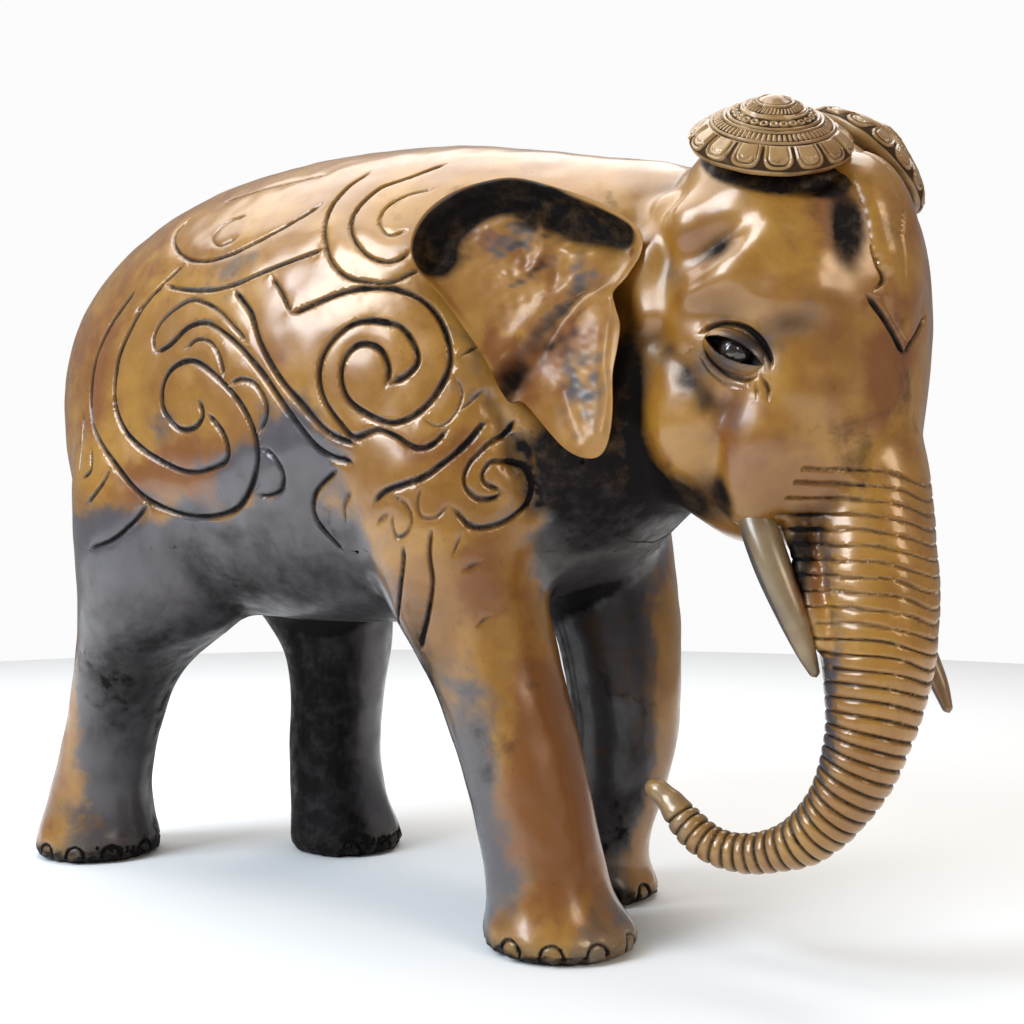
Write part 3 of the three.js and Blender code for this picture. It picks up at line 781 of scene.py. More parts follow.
def eye_frame(side):
    """The eye's middle, and its directions: along its slant, up, and outward."""
    centre = np.array([EYE[0], side * abs(EYE[1]), EYE[2]])
    out = np.array([0.2, side, -0.03])
    out /= np.linalg.norm(out)
    slant = math.radians(EYE_AXIS)
    along = np.array([math.cos(slant), 0, math.sin(slant)])
    along -= out * (along @ out)
    along /= np.linalg.norm(along)
    up = np.cross(out, along)
    return centre, along, up if up[2] > 0 else -up, out


def lid_edges(along):
    """How far the eye is open above and below its slant."""
    share = np.clip(1 - (along / (LID_LENGTH - 2.5)) ** 2, 0, 1)
    return UPPER_OPENING * share**0.8 + 0.3, -LOWER_OPENING * share - 0.3


def shape_eyelids(points, triangles):
    """Raises both lids over the beads, open along an almond, and sinks the socket behind the opening."""
    groove = np.zeros(0)
    for side in (-1, 1):
        centre, along, up, out = eye_frame(side)
        for _ in range(2):
            arm = points - centre
            u, v = arm @ along, arm @ up
            above, below = lid_edges(u)
            at_edge = np.minimum(np.abs(v - above), np.abs(v - below)) < 1.6
            wanted = at_edge & (np.abs(u) < LID_LENGTH) & (arm @ out > -6)
            points, triangles = refined(points, triangles, wanted)
        arm = points - centre
        u, v, w = arm @ along, arm @ up, arm @ out
        here = (np.abs(u) < 18) & (np.abs(v) < 14) & (w > -8)
        within = np.clip(1 - (u / LID_LENGTH) ** 2 - (v / LID_RADIUS) ** 2, 0, 1)
        rise = np.maximum(0, LID_RADIUS * np.sqrt(within) - w) * smooth(0, 0.15, within)
        above, below = lid_edges(u)
        inside = smooth(above + 0.25, above - 0.25, v) * smooth(below - 0.25, below + 0.25, v)
        inside = inside * smooth(LID_LENGTH - 2, LID_LENGTH - 3, np.abs(u))
        rise = rise * smooth(0, 1.0, rise)
        goal = (w + rise) * (1 - inside) + np.minimum(w, 3.0) * inside
        points = points + np.where(here, goal - w, 0)[:, None] * out
        crease = bell(v - above, 0.5) * (np.abs(u) < LID_LENGTH - 1.5)
        groove = np.maximum(longer(groove, points), np.where(here, inside + crease, 0))
    return points, triangles, groove


# ---- trunk rings --------------------------------------------------------------------------------

# Middle of the trunk from brow to tip, and its radius, which only helps to space the points
TRUNK = [
    (205, 0, 236, 25), (219, -1, 216, 26), (224, -5, 200, 26), (228, -11, 177, 25.5), (232, -17, 153, 25),
    (234, -22, 130, 22.5), (233, -26, 106, 18.5), (227.5, -28.5, 85, 15.2), (217, -29.5, 67.5, 12.8),
    (202, -30.5, 54.5, 11), (183, -30.5, 48.5, 9.8), (167, -30.5, 49.5, 9.6), (155, -30, 57, 9.6),
    (147, -29.5, 65, 8), (138, -29.5, 69, 4.5),
]
FIRST_RING_Z = 206
RING_STEP = 6.3  # between rings on the upright part of the trunk
CURL_STEP = 5.2  # between rings round the curl
CURL_Z = 100  # where the upright part ends
RING_WIDTH = 1.9
RING_DEPTH = 0.8
LAST_RING = 13  # how far before the tip the rings stop
RING_EDGE = 1.1  # half the width of the band that is refined along a ring
RING_REACH = 42  # how far from the trunk's middle a ring may be cut
RINGS_AHEAD_OF = 120  # behind this X there are no rings
RING_COVER = 140  # degrees each way from the trunk's front that a ring on the upright part covers
RING_BREAK = 50  # degrees from the front where such a ring grows faint


def trunk_rings():
    """The trunk's middle line, and each ring's distance along it."""
    line = through(TRUNK, 1.0)[:, :3]
    along = lengths_along(line)
    start = along[np.argmin(np.abs(line[:, 2] - FIRST_RING_Z))]
    bend = along[np.flatnonzero(line[:, 2] < CURL_Z)[0]]
    upright = np.arange(start, bend, RING_STEP)
    curl = np.arange(upright[-1] + CURL_STEP, along[-1] - LAST_RING, CURL_STEP)
    return line, along, np.concatenate([upright, curl]), bend


TRUNK_LINE, TRUNK_ALONG, RINGS, BEND = trunk_rings()


def ring_field(points):
    """How far the rings sink each point, the groove's share of that, and the way to the next ring."""
    number, away = nearest(points, TRUNK_LINE, RING_REACH)
    ahead = TRUNK_LINE[np.minimum(number + 1, len(TRUNK_LINE) - 1)]
    step = ahead - TRUNK_LINE[np.maximum(number - 1, 0)]
    direction = step / np.linalg.norm(step, axis=1, keepdims=True)
    arm = points - TRUNK_LINE[number]
    along = TRUNK_ALONG[number] + np.einsum("ij,ij->i", arm, direction)
    front = np.cross(direction, [0, 1, 0])
    front /= np.linalg.norm(front, axis=1, keepdims=True)
    turn = np.degrees(np.arctan2(arm[:, 1], np.einsum("ij,ij->i", arm, front)))
    upright = smooth(BEND + 5, BEND - 40, along)
    heights = TRUNK_LINE[:, 2][TRUNK_ALONG < BEND + 20]
    level = np.interp(-points[:, 2], -heights, TRUNK_ALONG[: len(heights)])
    wander = 0.4 * np.sin(np.radians(turn) * 2 + along * 0.9) - 7 * bell(turn, 42)
    place = along + upright * (level - along + wander)
    which = np.clip(np.searchsorted(RINGS, place), 1, len(RINGS) - 1)
    low, high = RINGS[which - 1], RINGS[which]
    above, below = np.abs(place - low), np.abs(high - place)
    gap = np.where(place < RINGS[0], RINGS[0] - place, np.minimum(above, below))
    gap = np.where(place > RINGS[-1], place - RINGS[-1], gap)
    ring = np.where(above < below, which - 1, which)
    reach = RING_COVER + 8 * np.sin(ring * 2.3)
    cover = smooth(reach, reach - 9, np.abs(turn)) * upright + (1 - upright)
    breaks = 1 - 0.6 * bell(np.abs(turn) - RING_BREAK + 6 * np.sin(ring * 1.7), 2.5) * upright
    depth = RING_DEPTH * gouge(gap, RING_WIDTH)
    sink = (0.35 - 0.3 * upright) * bell(gap, 1.6)
    inside = (away < RING_REACH - 0.1) & (points[:, 0] > RINGS_AHEAD_OF)
    inside &= (place > RINGS[0] - 4) & (place < RINGS[-1] + 4)
    mask = cover * breaks * inside
    return (depth + sink) * mask, depth * mask, np.where(inside, gap, FAR)


# ---- hand work over everything --------------------------------------------------------------------

FOOT_RIM = 8  # height of the rough edge round each foot
SCRAPED = 0.13  # height of the slow unevenness
CHIPPED = 0.28  # height of the chips


def hand_finish(points):
    """A slow unevenness, as rasp and scraper leave it, with short chips round the foot rims."""
    slow = ripples(points, SEED, 13, 42)
    chips = ripples(points, SEED + 1, 3, 9)
    return SCRAPED * slow + CHIPPED * chips * smooth(FOOT_RIM, FOOT_RIM - 4, points[:, 2])


# ---- the blocks ---------------------------------------------------------------------------------

OVERLAP = 0.4  # how far a block runs past its glue line, so that no light shows through it
SOFT_BAND = 3.2  # distances are kept this many times as far out as facets are rubbed away
GRID_MARGIN = 4
HOLLOW_SIZE = 7  # size of the recesses and swellings that take a darker or paler finish
FULL_GROOVE = 1.2  # a stroke this deep is fully dark
HEAD_BACK = NECK_X - OVERLAP
HEAD_REGION = [(HEAD_BACK, TRUNK_JOINT_Z), (FAR, TRUNK_JOINT_Z), (FAR, 2 * FAR), (HEAD_BACK, 2 * FAR)]
TRUNK_TOP = TRUNK_JOINT_Z + OVERLAP
TRUNK_REGION = [(NECK_X, 0), (FAR, 0), (FAR, TRUNK_TOP), (NECK_X, TRUNK_TOP)]
BODY_REGION = [
    (-FAR, SEAT_Z), (HIND_SEAT_X, SEAT_Z), (HIND_SEAT_X, 0), (FRONT_SEAT_X, 0), (FRONT_SEAT_X, SEAT_Z),
    (NECK_X, SEAT_Z), (NECK_X, 2 * FAR), (-FAR, 2 * FAR),
]
LEG_TOP = SEAT_Z + OVERLAP
FORELEG_REAR = FRONT_SEAT_X - OVERLAP
HINDLEG_FRONT = HIND_SEAT_X + OVERLAP
FORELEG_REGION = [(FORELEG_REAR, 0), (FAR, 0), (FAR, LEG_TOP), (FORELEG_REAR, LEG_TOP)]
HINDLEG_REGION = [(-FAR, 0), (HINDLEG_FRONT, 0), (HINDLEG_FRONT, LEG_TOP), (-FAR, LEG_TOP)]

BLOCKS = {
    "body_block": dict(voxel=3.4, finest=1.1, softest=TORSO_SOFTNESS, region=BODY_REGION, kind="body"),
    "head_block": dict(voxel=1.9, finest=0.8, softest=TORSO_SOFTNESS, region=HEAD_REGION, kind="head"),
    "trunk_lower": dict(voxel=1.3, finest=0.8, softest=LIMB_SOFTNESS, region=TRUNK_REGION, kind="trunk"),
}
for leg in LEGS:
    leg_region = FORELEG_REGION if "front" in leg else HINDLEG_REGION
    BLOCKS[leg] = dict(voxel=3.4, finest=1.1, softest=TORSO_SOFTNESS, region=leg_region, kind="leg")

DOWELS = [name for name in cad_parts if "dowel" in name]
NEIGHBOURS = {
    "body": ["body_block", "head_block", *LEGS, *DOWELS],
    "head": ["head_block", "body_block", "trunk_lower", "forehead_lappet", "trunk_dowel"],
    "trunk": ["trunk_lower", "head_block", "trunk_dowel"],
    "leg": ["body_block", *LEGS, *[name for name in DOWELS if "leg" in name]],
}


def block(name):
    """One block: its part of the mass, sculpted, cut with strokes and rings, and parted from the rest."""
    plan = BLOCKS[name]
    kind = plan["kind"]
    band = SOFT_BAND * plan["softest"]
    room = band + GRID_MARGIN
    low, high = box_of(name)
    grid = Grid(low - room, high + room, plan["voxel"] * COARSE)
    form = carved_mass(grid, NEIGHBOURS[kind], band)
    if kind in ("head", "body"):
        sculpt_head(grid, form)
    if kind in ("body", "leg", "head"):
        work_both_sides(grid, form, BODY_WORKS)
    if kind == "leg":
        work_both_sides(grid, form, LEG_WORKS)
    if kind == "trunk":
        sculpt_webs(grid, form)
        bar(grid, form, TRUNK_TIP, TRUNK_TIP_RADIUS, 4)
    hollow = blurred(form, HOLLOW_SIZE / grid.voxel) - form
    points, triangles = grid.surface(form)
    finest = plan["finest"] * COARSE
    depth = np.zeros(len(points))
    if kind != "trunk":
        tree = BVHTree.FromPolygons(points.tolist(), triangles.tolist())
        points, triangles, depth = carve_strokes(points, triangles, stroke_samples(tree, kind), finest)
    if kind == "head":
        points, triangles, socket = shape_eyelids(points, triangles)
        depth = np.maximum(longer(depth, points), socket)
    if kind in ("head", "trunk"):
        points, triangles, depth = carve_rings(points, triangles, depth, finest)
    points = points + normals_of(points, triangles) * hand_finish(points)[:, None]
    whole = mesh_object(name + "_carving", points, triangles)
    side = -1 if name.endswith("right") else 1
    across = (0, side * FAR) if kind == "leg" else (-FAR, FAR)
    cut_to(whole, plan["region"], sorted(across))
    finish_fields(whole, points, depth, grid.sample(hollow, points), normals_of(points, triangles))
    return whole


def carve_rings(points, triangles, depth, finest):
    """Refines the trunk along its rings and sinks them."""
    edge = mean_edge(points, triangles)
    for _ in range(2):
        if edge < finest:
            break
        _, _, gap = ring_field(points)
        points, triangles = refined(points, triangles, gap < RING_EDGE + edge)
        depth = longer(depth, points)
        edge /= 2
    sunk, groove, _ = ring_field(points)
    return points - normals_of(points, triangles) * sunk[:, None], triangles, depth + groove


FACINGS = ("facing_x", "facing_y", "facing_z")


def finish_fields(obj, points, depth, hollow, facing):
    """Carries stroke depth, hollowness and facing from before the parting onto a block's own points."""
    tree = tree_of(points)
    number = np.array([tree.find(p)[1] for p in points_of(obj)])
    set_field(obj, "groove", np.clip(depth[number] / FULL_GROOVE, 0, 1))
    set_field(obj, "bulge", hollow[number])
    for name, values in zip(FACINGS, facing[number].T):
        set_field(obj, name, values)


# ---- fittings -----------------------------------------------------------------------------------


def grid_faces(rows, columns, closed=True):
    """Quads over rows of points, each row closed on itself."""
    i, j = np.meshgrid(np.arange(rows - 1), np.arange(columns if closed else columns - 1), indexing="ij")
    a, b = i * columns + j, i * columns + (j + 1) % columns
    return np.stack([a, b, b + columns, a + columns], -1).reshape(-1, 4)


def quads_and_poles(points, rows, columns):
    """Triangles over closed rows of points, with a pole before the first row and after the last."""
    j = np.arange(columns)
    ahead = (j + 1) % columns
    last = 1 + (rows - 1) * columns
    first_fan = np.stack([0 * j, ahead + 1, j + 1], 1)
    last_fan = np.stack([0 * j + 1 + rows * columns, last + j, last + ahead], 1)
    return outward(points, np.vstack([halved(grid_faces(rows, columns) + 1), first_fan, last_fan]))


def with_poles(values):
    """Values for rows of points, and zero at both poles."""
    return np.concatenate([[0], values, [0]])


ROD_SPACING = 0.8
ROD_GROOVE = 0.8  # a cut this deep in a rod is fully dark


def rod(name, table, sides, shape):
    """A round-ended bar along rows of x, y, z and radius; shape(along, angle) is cut off its radius."""
    line = through(table, ROD_SPACING)
    middle = line[:, :3]
    along = lengths_along(middle)
    direction = np.gradient(middle, axis=0)
    direction /= np.linalg.norm(direction, axis=1, keepdims=True)
    u = np.array([0, 1, 0]) - direction * direction[:, 1:2]
    u /= np.linalg.norm(u, axis=1, keepdims=True)
    v = np.cross(direction, u)
    angle = np.linspace(0, 2 * math.pi, sides, endpoint=False)
    radius = np.repeat(line[:, 3:4], sides, axis=1)
    length = along[-1]
    end = np.minimum(1, (length - along) / line[-1, 3])
    radius = radius * np.sqrt(1 - (1 - np.clip(end, 0.02, 1)) ** 2)[:, None]
    depth = shape(along[:, None] / length, angle[None, :]) + 0 * radius
    radius = radius - depth
    ring = u[:, None] * np.cos(angle)[None, :, None] + v[:, None] * np.sin(angle)[None, :, None]
    rings = middle[:, None] + ring * radius[:, :, None]
    points = np.vstack([middle[:1], rings.reshape(-1, 3), middle[-1:] + direction[-1:] * 0.2])
    groove = with_poles(np.clip(depth.ravel() / ROD_GROOVE, 0, 1))
    return mesh_object(name, points, quads_and_poles(points, len(line), sides), {"groove": groove})


# Rows of x, y, z, radius
TUSKS = {
    "tusk_right": [(177, -30, 207, 5.6), (184, -34, 196, 6), (190, -38, 184, 7.4), (198, -41, 167, 7.4),
                   (206, -41.5, 149, 6.1), (211.5, -40, 134, 4), (215, -38, 124, 1.8)],
    "tusk_left": [(177, 30, 207, 5.6), (184, 34, 196, 6), (192, 38, 184, 7.4), (208, 41, 165, 7.2),
                  (226, 40.5, 142, 5.9), (239, 37.5, 119, 4.3), (245.5, 35, 104, 2)],
}
TAIL = [(-205, 2, 285, 5), (-222, 4, 277, 6), (-235, 6, 261, 5.5), (-240, 8, 236, 4.8), (-239, 9, 206, 4.2),
        (-236, 9, 182, 6), (-232, 8, 160, 5), (-230, 8, 146, 1.5)]


def tusk(name):
    """A tusk with faint facets and a shallow collar near its root."""

    def shape(along, angle):
        facets = 0.12 * np.sin(3 * angle + 5 * along) * smooth(1, 0.6, along)
        collar = 0.5 * bell(along - 0.2, 0.012)
        return facets + collar

    return rod(name + "_carving", TUSKS[name], 48, shape)


def tail():
    """A thin ringed tail with a tuft of strands at its end."""

    def shape(along, angle):
        tuft = smooth(0.62, 0.72, along)
        strands = 0.55 * (0.5 + 0.5 * np.cos(11 * angle + 9 * along)) ** 2 * tuft
        rings = 0.35 * np.maximum(0, np.cos(along * 95)) ** 6 * (1 - tuft)
        return strands + rings

    return rod("tail_carving", TAIL, 66, shape)


# Outline of a cap from its apex down over the rim and back under it: radius, height
CAP_OUTLINE = [(0, 23.4), (2.4, 23), (5, 21.9), (9.5, 19.9), (17, 16), (24.5, 12), (30.6, 7.9), (32.6, 4.9),
               (31.6, 2.0), (28.5, 0.9), (20, 0.6), (0, 0.6)]
PETALS = 15
PETAL_TOP, PETAL_END = 28.4, 38.8
CAP_SIDES = 420
# Raised and sunk lines round a cap, by distance from its apex along the slope: place, height
CAP_LINES = [
    (7.4, 0.5), (12.9, 0.55), (13.9, 0.3), (19.4, 0.5), (21.2, 0.5), (26.6, 0.6), (6.6, -0.35), (8.4, -0.35),
    (12.0, -0.35), (14.7, -0.35), (18.5, -0.35), (20.3, -0.35), (22.1, -0.35), (25.8, -0.35), (27.6, -0.4),
]


def cap_pattern(down, angle):
    """How far the cap's ornament stands proud, by distance down its slope and by angle."""
    down, angle = np.broadcast_arrays(down, angle)
    height = sum(size * bell(down - place, 0.42 if size > 0 else 0.28) for place, size in CAP_LINES)
    # a rope round the apex
    rope = np.abs(np.cos(21 * angle + 0.5 * down)) - 0.6
    height = height + 0.7 * rope * smooth(8.5, 9.0, down) * smooth(12.0, 11.5, down)
    # a band of rings, side by side
    bead = (np.mod(angle * 25 / (2 * math.pi), 1) - 0.5) * 2
    bead_gap = np.sqrt((bead * 0.9) ** 2 + ((down - 16.6) / 1.75) ** 2)
    bead_band = smooth(14.7, 15.1, down) * smooth(18.5, 18.1, down)
    height += (0.7 * bell(bead_gap - 0.55, 0.28) - 0.4) * bead_band
    # a band of pleats
    pleats = np.abs(np.cos(34 * angle)) - 0.6
    height += 0.75 * pleats * smooth(22.0, 22.5, down) * smooth(25.9, 25.5, down)
    # petals down to the rim, each with an edge, a raised middle and a curved stroke across it
    cell = (np.mod(angle * PETALS / (2 * math.pi), 1) - 0.5) * 2
    fall = (down - PETAL_TOP) / (PETAL_END - PETAL_TOP)
    petal = (np.abs(cell) / 0.78) ** 3 + np.maximum(0, (fall - 0.3) / 0.6) ** 3
    band = smooth(PETAL_TOP - 0.3, PETAL_TOP + 0.3, down) * smooth(PETAL_END + 0.8, PETAL_END, down)
    edge = 0.5 * bell(petal - 1, 0.22) + 0.35 * smooth(0.7, 0.3, petal)
    height += band * (edge - 0.35 * bell(petal - 0.6, 0.16))
    height -= band * 0.45 * smooth(1.3, 1.7, petal)
    smile = fall - 0.66 + 0.8 * cell**2
    height -= band * 0.4 * bell(smile, 0.06) * smooth(0.4, 0.3, np.abs(cell))
    return height


def turned_to(points, axis):
    """Points about the Z axis, turned so that it lies along another."""
    turn = Vector((0, 0, 1)).rotation_difference(Vector(axis)).to_matrix()
    return points @ np.array(turn).T


def cap(name):
    """A domed cap: its outline turned about its axis, with the ornament standing out from it."""
    base, tilt = CAPS[name]
    outline = through(CAP_OUTLINE, 0.32)
    outline = outline[np.r_[True, np.linalg.norm(np.diff(outline, axis=0), axis=1) > 1e-6]][1:-1]
    angle = np.linspace(0, 2 * math.pi, CAP_SIDES, endpoint=False)
    step = np.gradient(outline, axis=0)
    out = np.stack([-step[:, 1], step[:, 0]], 1) / np.linalg.norm(step, axis=1, keepdims=True)
    out = out if out[0, 1] > 0 else -out
    height = cap_pattern(lengths_along(outline)[:, None], angle[None, :])
    worn = 0.1 * np.sin(5 * angle + outline[:, 1:] * 0.7) + 0.06 * np.sin(13 * angle - outline[:, :1])
    height = height + worn * smooth(2, 8, outline[:, :1])
    radius = outline[:, :1] + out[:, :1] * height
    z = outline[:, 1:] + out[:, 1:] * height
    local = np.stack([radius * np.cos(angle), radius * np.sin(angle), z + 0 * angle], -1).reshape(-1, 3)
    local = np.vstack([[0, 0, CAP_OUTLINE[0][1]], local, [0, 0, CAP_OUTLINE[-1][1]]])
    points = turned_to(local, tilt) + base
    faces = quads_and_poles(points, len(outline), CAP_SIDES)
    fields = {
        "groove": with_poles(np.clip(-height.ravel() / 0.45, 0, 1)),
        "bulge": with_poles(height.ravel() * 3),
    }
    return mesh_object(name.replace("head_", "") + "_carving", points, faces, fields)


# Ear: its root on the head, how far it turns out, and its outline as distance back and height
EAR_ROOT = (135, -57, 0)
EAR_FLARE = math.radians(19.3)
EAR_CENTRE = np.array([40, 276])
EAR_OUTLINE = [
    (-10, 306), (6, 317), (23, 324), (41, 329.5), (55, 329), (70, 325), (82, 317), (88, 306), (86, 294),
    (75, 281), (64, 266), (54, 251.5), (48.5, 240), (45, 235.5), (41, 236), (37, 233.5), (29, 224),
    (20, 215), (12, 211.5), (5.5, 213), (1.5, 220), (0, 232), (0, 246), (-2, 257), (-3, 266), (-1, 274),
    (0, 281), (-6, 288), (-11, 296),
]
EAR_SIDES = 400
EAR_RINGS = 92
EAR_THICKNESS = 6.5


def along_line(place, points):
    """Distance from places in a plane to a line of points."""
    line = through(points, 1.5)
    best = np.full(len(place), 1e9)
    for a, b in zip(line[:-1], line[1:]):
        step = b - a
        t = np.clip((place - a) @ step / (step @ step), 0, 1)
        best = np.minimum(best, np.linalg.norm(place - a - t[:, None] * step, axis=1))
    return best


def spot(place, centre, size):
    """A soft round spot of height 1."""
    away = (place - centre) / size
    return np.exp(-(away**2).sum(1))


EAR_DISH = 9  # how deep the ear is dished
EAR_ROUGHNESS = 0.16
# Features of the ear's front, as distance back and height: the dark hollow under the rim, the fold
# above the lobe, the ridge round the knot, the lobe's front ridge and the hollow down the lobe
EAR_CUP = [(82, 300), (79, 309), (69, 316), (57, 322), (44, 323.5), (32, 320), (22, 313.5), (10, 309),
           (-2, 306.5)]
EAR_FOLD = [(-22, 288), (5, 285), (13, 283), (19, 280), (27, 273), (35, 265), (43, 255), (47, 249),
            (50, 243), (58, 224)]
EAR_KNOT = [(56, 311), (46, 314), (36.5, 313), (31.5, 307), (33, 298), (38, 292), (47, 290)]
EAR_EDGE_RIDGE = [(4.5, 284), (1.5, 275), (3, 262), (4, 250), (3, 236), (5, 222)]
EAR_LOBE_HOLLOW = [(23, 240), (20, 232), (15.5, 221)]


# Round features of the ear's front: how much, centre and size
EAR_BUMPS = [
    (-1.6, (43, 301), (6, 5)), (2.0, (52, 306), (8, 6)), (3.0, (18, 296), (6, 5)), (2.0, (8, 298), (5, 4)),
    (-2.4, (27, 290), (4, 8)), (-2.2, (12, 303), (12, 3)),
]
LOBE_BUMP = [(1.8, (31, 236), (7, 6))]
EAR_PITTED = [(1, (38, 296), (32, 22)), (0.5, (14, 240), (20, 24))]
# The shade spots are painted shade in the ear's hollows; the cool spots are painted silver-grey sheen.
EAR_SHADE = [(0.9, (78, 300), (12, 10)), (0.7, (47, 244), (8, 12))]
LOBE_SHADE = [(0.7, (27, 262), (17, 9))]
EAR_RUST = [(0.9, (55, 307), (10, 6)), (1.2, (47, 252), (11, 16)), (0.5, (36, 301), (9, 9))]
LOBE_RUST = [(0.9, (26, 265), (17, 8))]
EAR_SHEEN = [(0.5, (13, 293), (13, 10)), (0.35, (42, 300), (11, 10))]
LOBE_SHEEN = [(0.7, (12, 240), (15, 28))]


def spots(place, table):
    """The sum of a table of soft round spots."""
    return sum(size * spot(place, centre, spread) for size, centre, spread in table)


def ear_front(place, reach):
    """How far the ear's front stands out from its flat, and how much painted shade, rust and painted cool
    sheen it carries.
    """
    back, up = place.T
    cup = along_line(place, EAR_CUP)
    fold = along_line(place, EAR_FOLD)
    steps = np.array(EAR_FOLD).T
    past_fold = up - np.interp(back, steps[0], steps[1])
    fold = np.where(past_fold > 0, fold, -fold)
    lobe = smooth(-1, -9, fold)
    knot = along_line(place, EAR_KNOT)
    lobe_hollow = along_line(place, EAR_LOBE_HOLLOW)
    # the dish, the rim and the dark hollow inside it
    rim = smooth(262, 300, up) * smooth(0.88, 0.97, reach)
    height = -EAR_DISH * (1 - reach**3) + 3.4 * rim - 4.2 * bell(cup, 6.5) * smooth(1.0, 0.9, reach)
    # the fold's crest, and the hollow past it
    height += 3.0 * bell(fold - 5, 7) - 3.4 * bell(fold + 4, 6.5) * smooth(0.9, 0.7, reach)
    height += 1.7 * bell(knot, 4) + spots(place, EAR_BUMPS)
    # the lobe curls forward, with a ridge along its front edge
    curl = 6 * smooth(34, 12, back) * smooth(206, 222, up)
    ridge = 1.6 * bell(along_line(place, EAR_EDGE_RIDGE), 2.5)
    height += lobe * (curl + ridge - 1.5 * bell(lobe_hollow, 3.4) + spots(place, LOBE_BUMP))
    # the root dips under the head
    height -= 4.5 * smooth(12, -6, back) * smooth(270, 284, up) * smooth(306, 297, up)
    rough = ripples(place, SEED + 2, 3, 8) * smooth(0.97, 0.85, reach)
    height += EAR_ROUGHNESS * rough * np.minimum(spots(place, EAR_PITTED), 1)
    # Painted shade in the hollow under the rolled rim, in the creases by the fold and knot, and down the
    # lobe; the cool stains are painted silver-grey sheen.
    patchy = 0.75 + 0.25 * ripples(place, SEED + 3, 6, 20)
    creased = bell(fold + 5, 7) + bell(knot, 3) * smooth(60, 40, back)
    shade = 1.7 * bell(cup, 7.4) * smooth(1.0, 0.95, reach) + spots(place, EAR_SHADE)
    shade += patchy * (0.35 * creased + lobe * spots(place, LOBE_SHADE))
    shade += 0.3 * lobe * bell(lobe_hollow, 3.2)
    stains = {
        "shade": shade,
        "rust": patchy * (spots(place, EAR_RUST) + lobe * spots(place, LOBE_RUST)),
        "cool_sheen_and_shade": patchy * (spots(place, EAR_SHEEN) + lobe * spots(place, LOBE_SHEEN)),
    }
    return height, {name: np.clip(values, 0, 1) for name, values in stains.items()}


def ear_edge():
    """The ear's outline, evenly spaced."""
    closed = np.array(EAR_OUTLINE + EAR_OUTLINE[:3], float)
    outline = through(closed, 0.3)
    along = lengths_along(outline)
    half = len(outline) // 2
    start = along[np.argmin(np.linalg.norm(outline[:half] - closed[1], axis=1))]
    end = along[half + np.argmin(np.linalg.norm(outline[half:] - closed[1], axis=1))]
    places = np.linspace(start, end, EAR_SIDES, endpoint=False)
    return np.stack([np.interp(places, along, outline[:, i]) for i in range(2)], 1)


def ear_back(height, reach):
    """The back's height, from the front's: dished alike, but plain inside the rim."""
    dish = -EAR_DISH * (1 - reach**3)
    rim = height - dish
    height = dish + np.where(rim < 0, 0.3, smooth(0.9, 1, reach)) * rim
    return height - EAR_THICKNESS * math.sqrt(1 - reach**4) - 1.4


def ear(name, side):
    """A dished flap, in rings from the middle of its back, over the rim, to the middle of its front."""
    edge = ear_edge()
    reaches = 1 - (1 - np.linspace(0.03, 1, EAR_RINGS)) ** 1.15
    layers = []
    fields = {"shade": [], "rust": [], "cool_sheen_and_shade": []}
    for face, order in (("back", reaches), ("front", reaches[::-1])):
        for reach in order:
            place = EAR_CENTRE + (edge - EAR_CENTRE) * reach
            height, patches = ear_front(place, np.full(EAR_SIDES, reach))
            if face == "back":
                height = ear_back(height, reach)
            layers.append(np.column_stack([place, height]))
            for key, values in fields.items():
                values.append(patches[key] * (face == "front"))
    flat = np.vstack([layers[0].mean(0), np.vstack(layers), layers[-1].mean(0)])
    back = np.array([-math.cos(EAR_FLARE), -math.sin(EAR_FLARE), 0])
    out = np.array([math.sin(EAR_FLARE), -math.cos(EAR_FLARE), 0])
    points = np.array(EAR_ROOT) + flat[:, :1] * back + flat[:, 2:] * out + flat[:, 1:2] * [0, 0, 1]
    points = points * [1, -side, 1]
    faces = quads_and_poles(points, 2 * EAR_RINGS, EAR_SIDES)
    fields = {key: with_poles(np.concatenate(values)) for key, values in fields.items()}
    return mesh_object(name + "_carving", points, faces, fields, sharp=60)


# Lappet, in front view: height, middle, half width, and how proud it stands
LAPPET = [
    (332, -19.5, 9, 2.4), (327, -20, 12, 3.2), (316, -20, 13.6, 3.4), (303, -20, 14, 3.2),
    (291, -19.5, 14.2, 2.8), (284, -18.2, 13.3, 2.3), (279.5, -17, 12.6, 1.9), (273, -18.2, 12, 0.9),
    (266, -17.5, 9.6, 0.4), (260, -17.3, 5, 0.4), (256, -17, 0.8, 0.4),
]
LAPPET_CREASE = ((280, -24), (295, -25), (310, -20), (324, -17))  # height and Y
LAPPET_ROWS = 150
LAPPET_COLUMNS = 60
LAPPET_ROOT = 2  # how far it is let into the forehead
EYE_RINGS = 60
EYE_SIDES = 72
IRIS_REACH = 0.42  # in radians from the bead's front
IRIS_RISE = 0.25


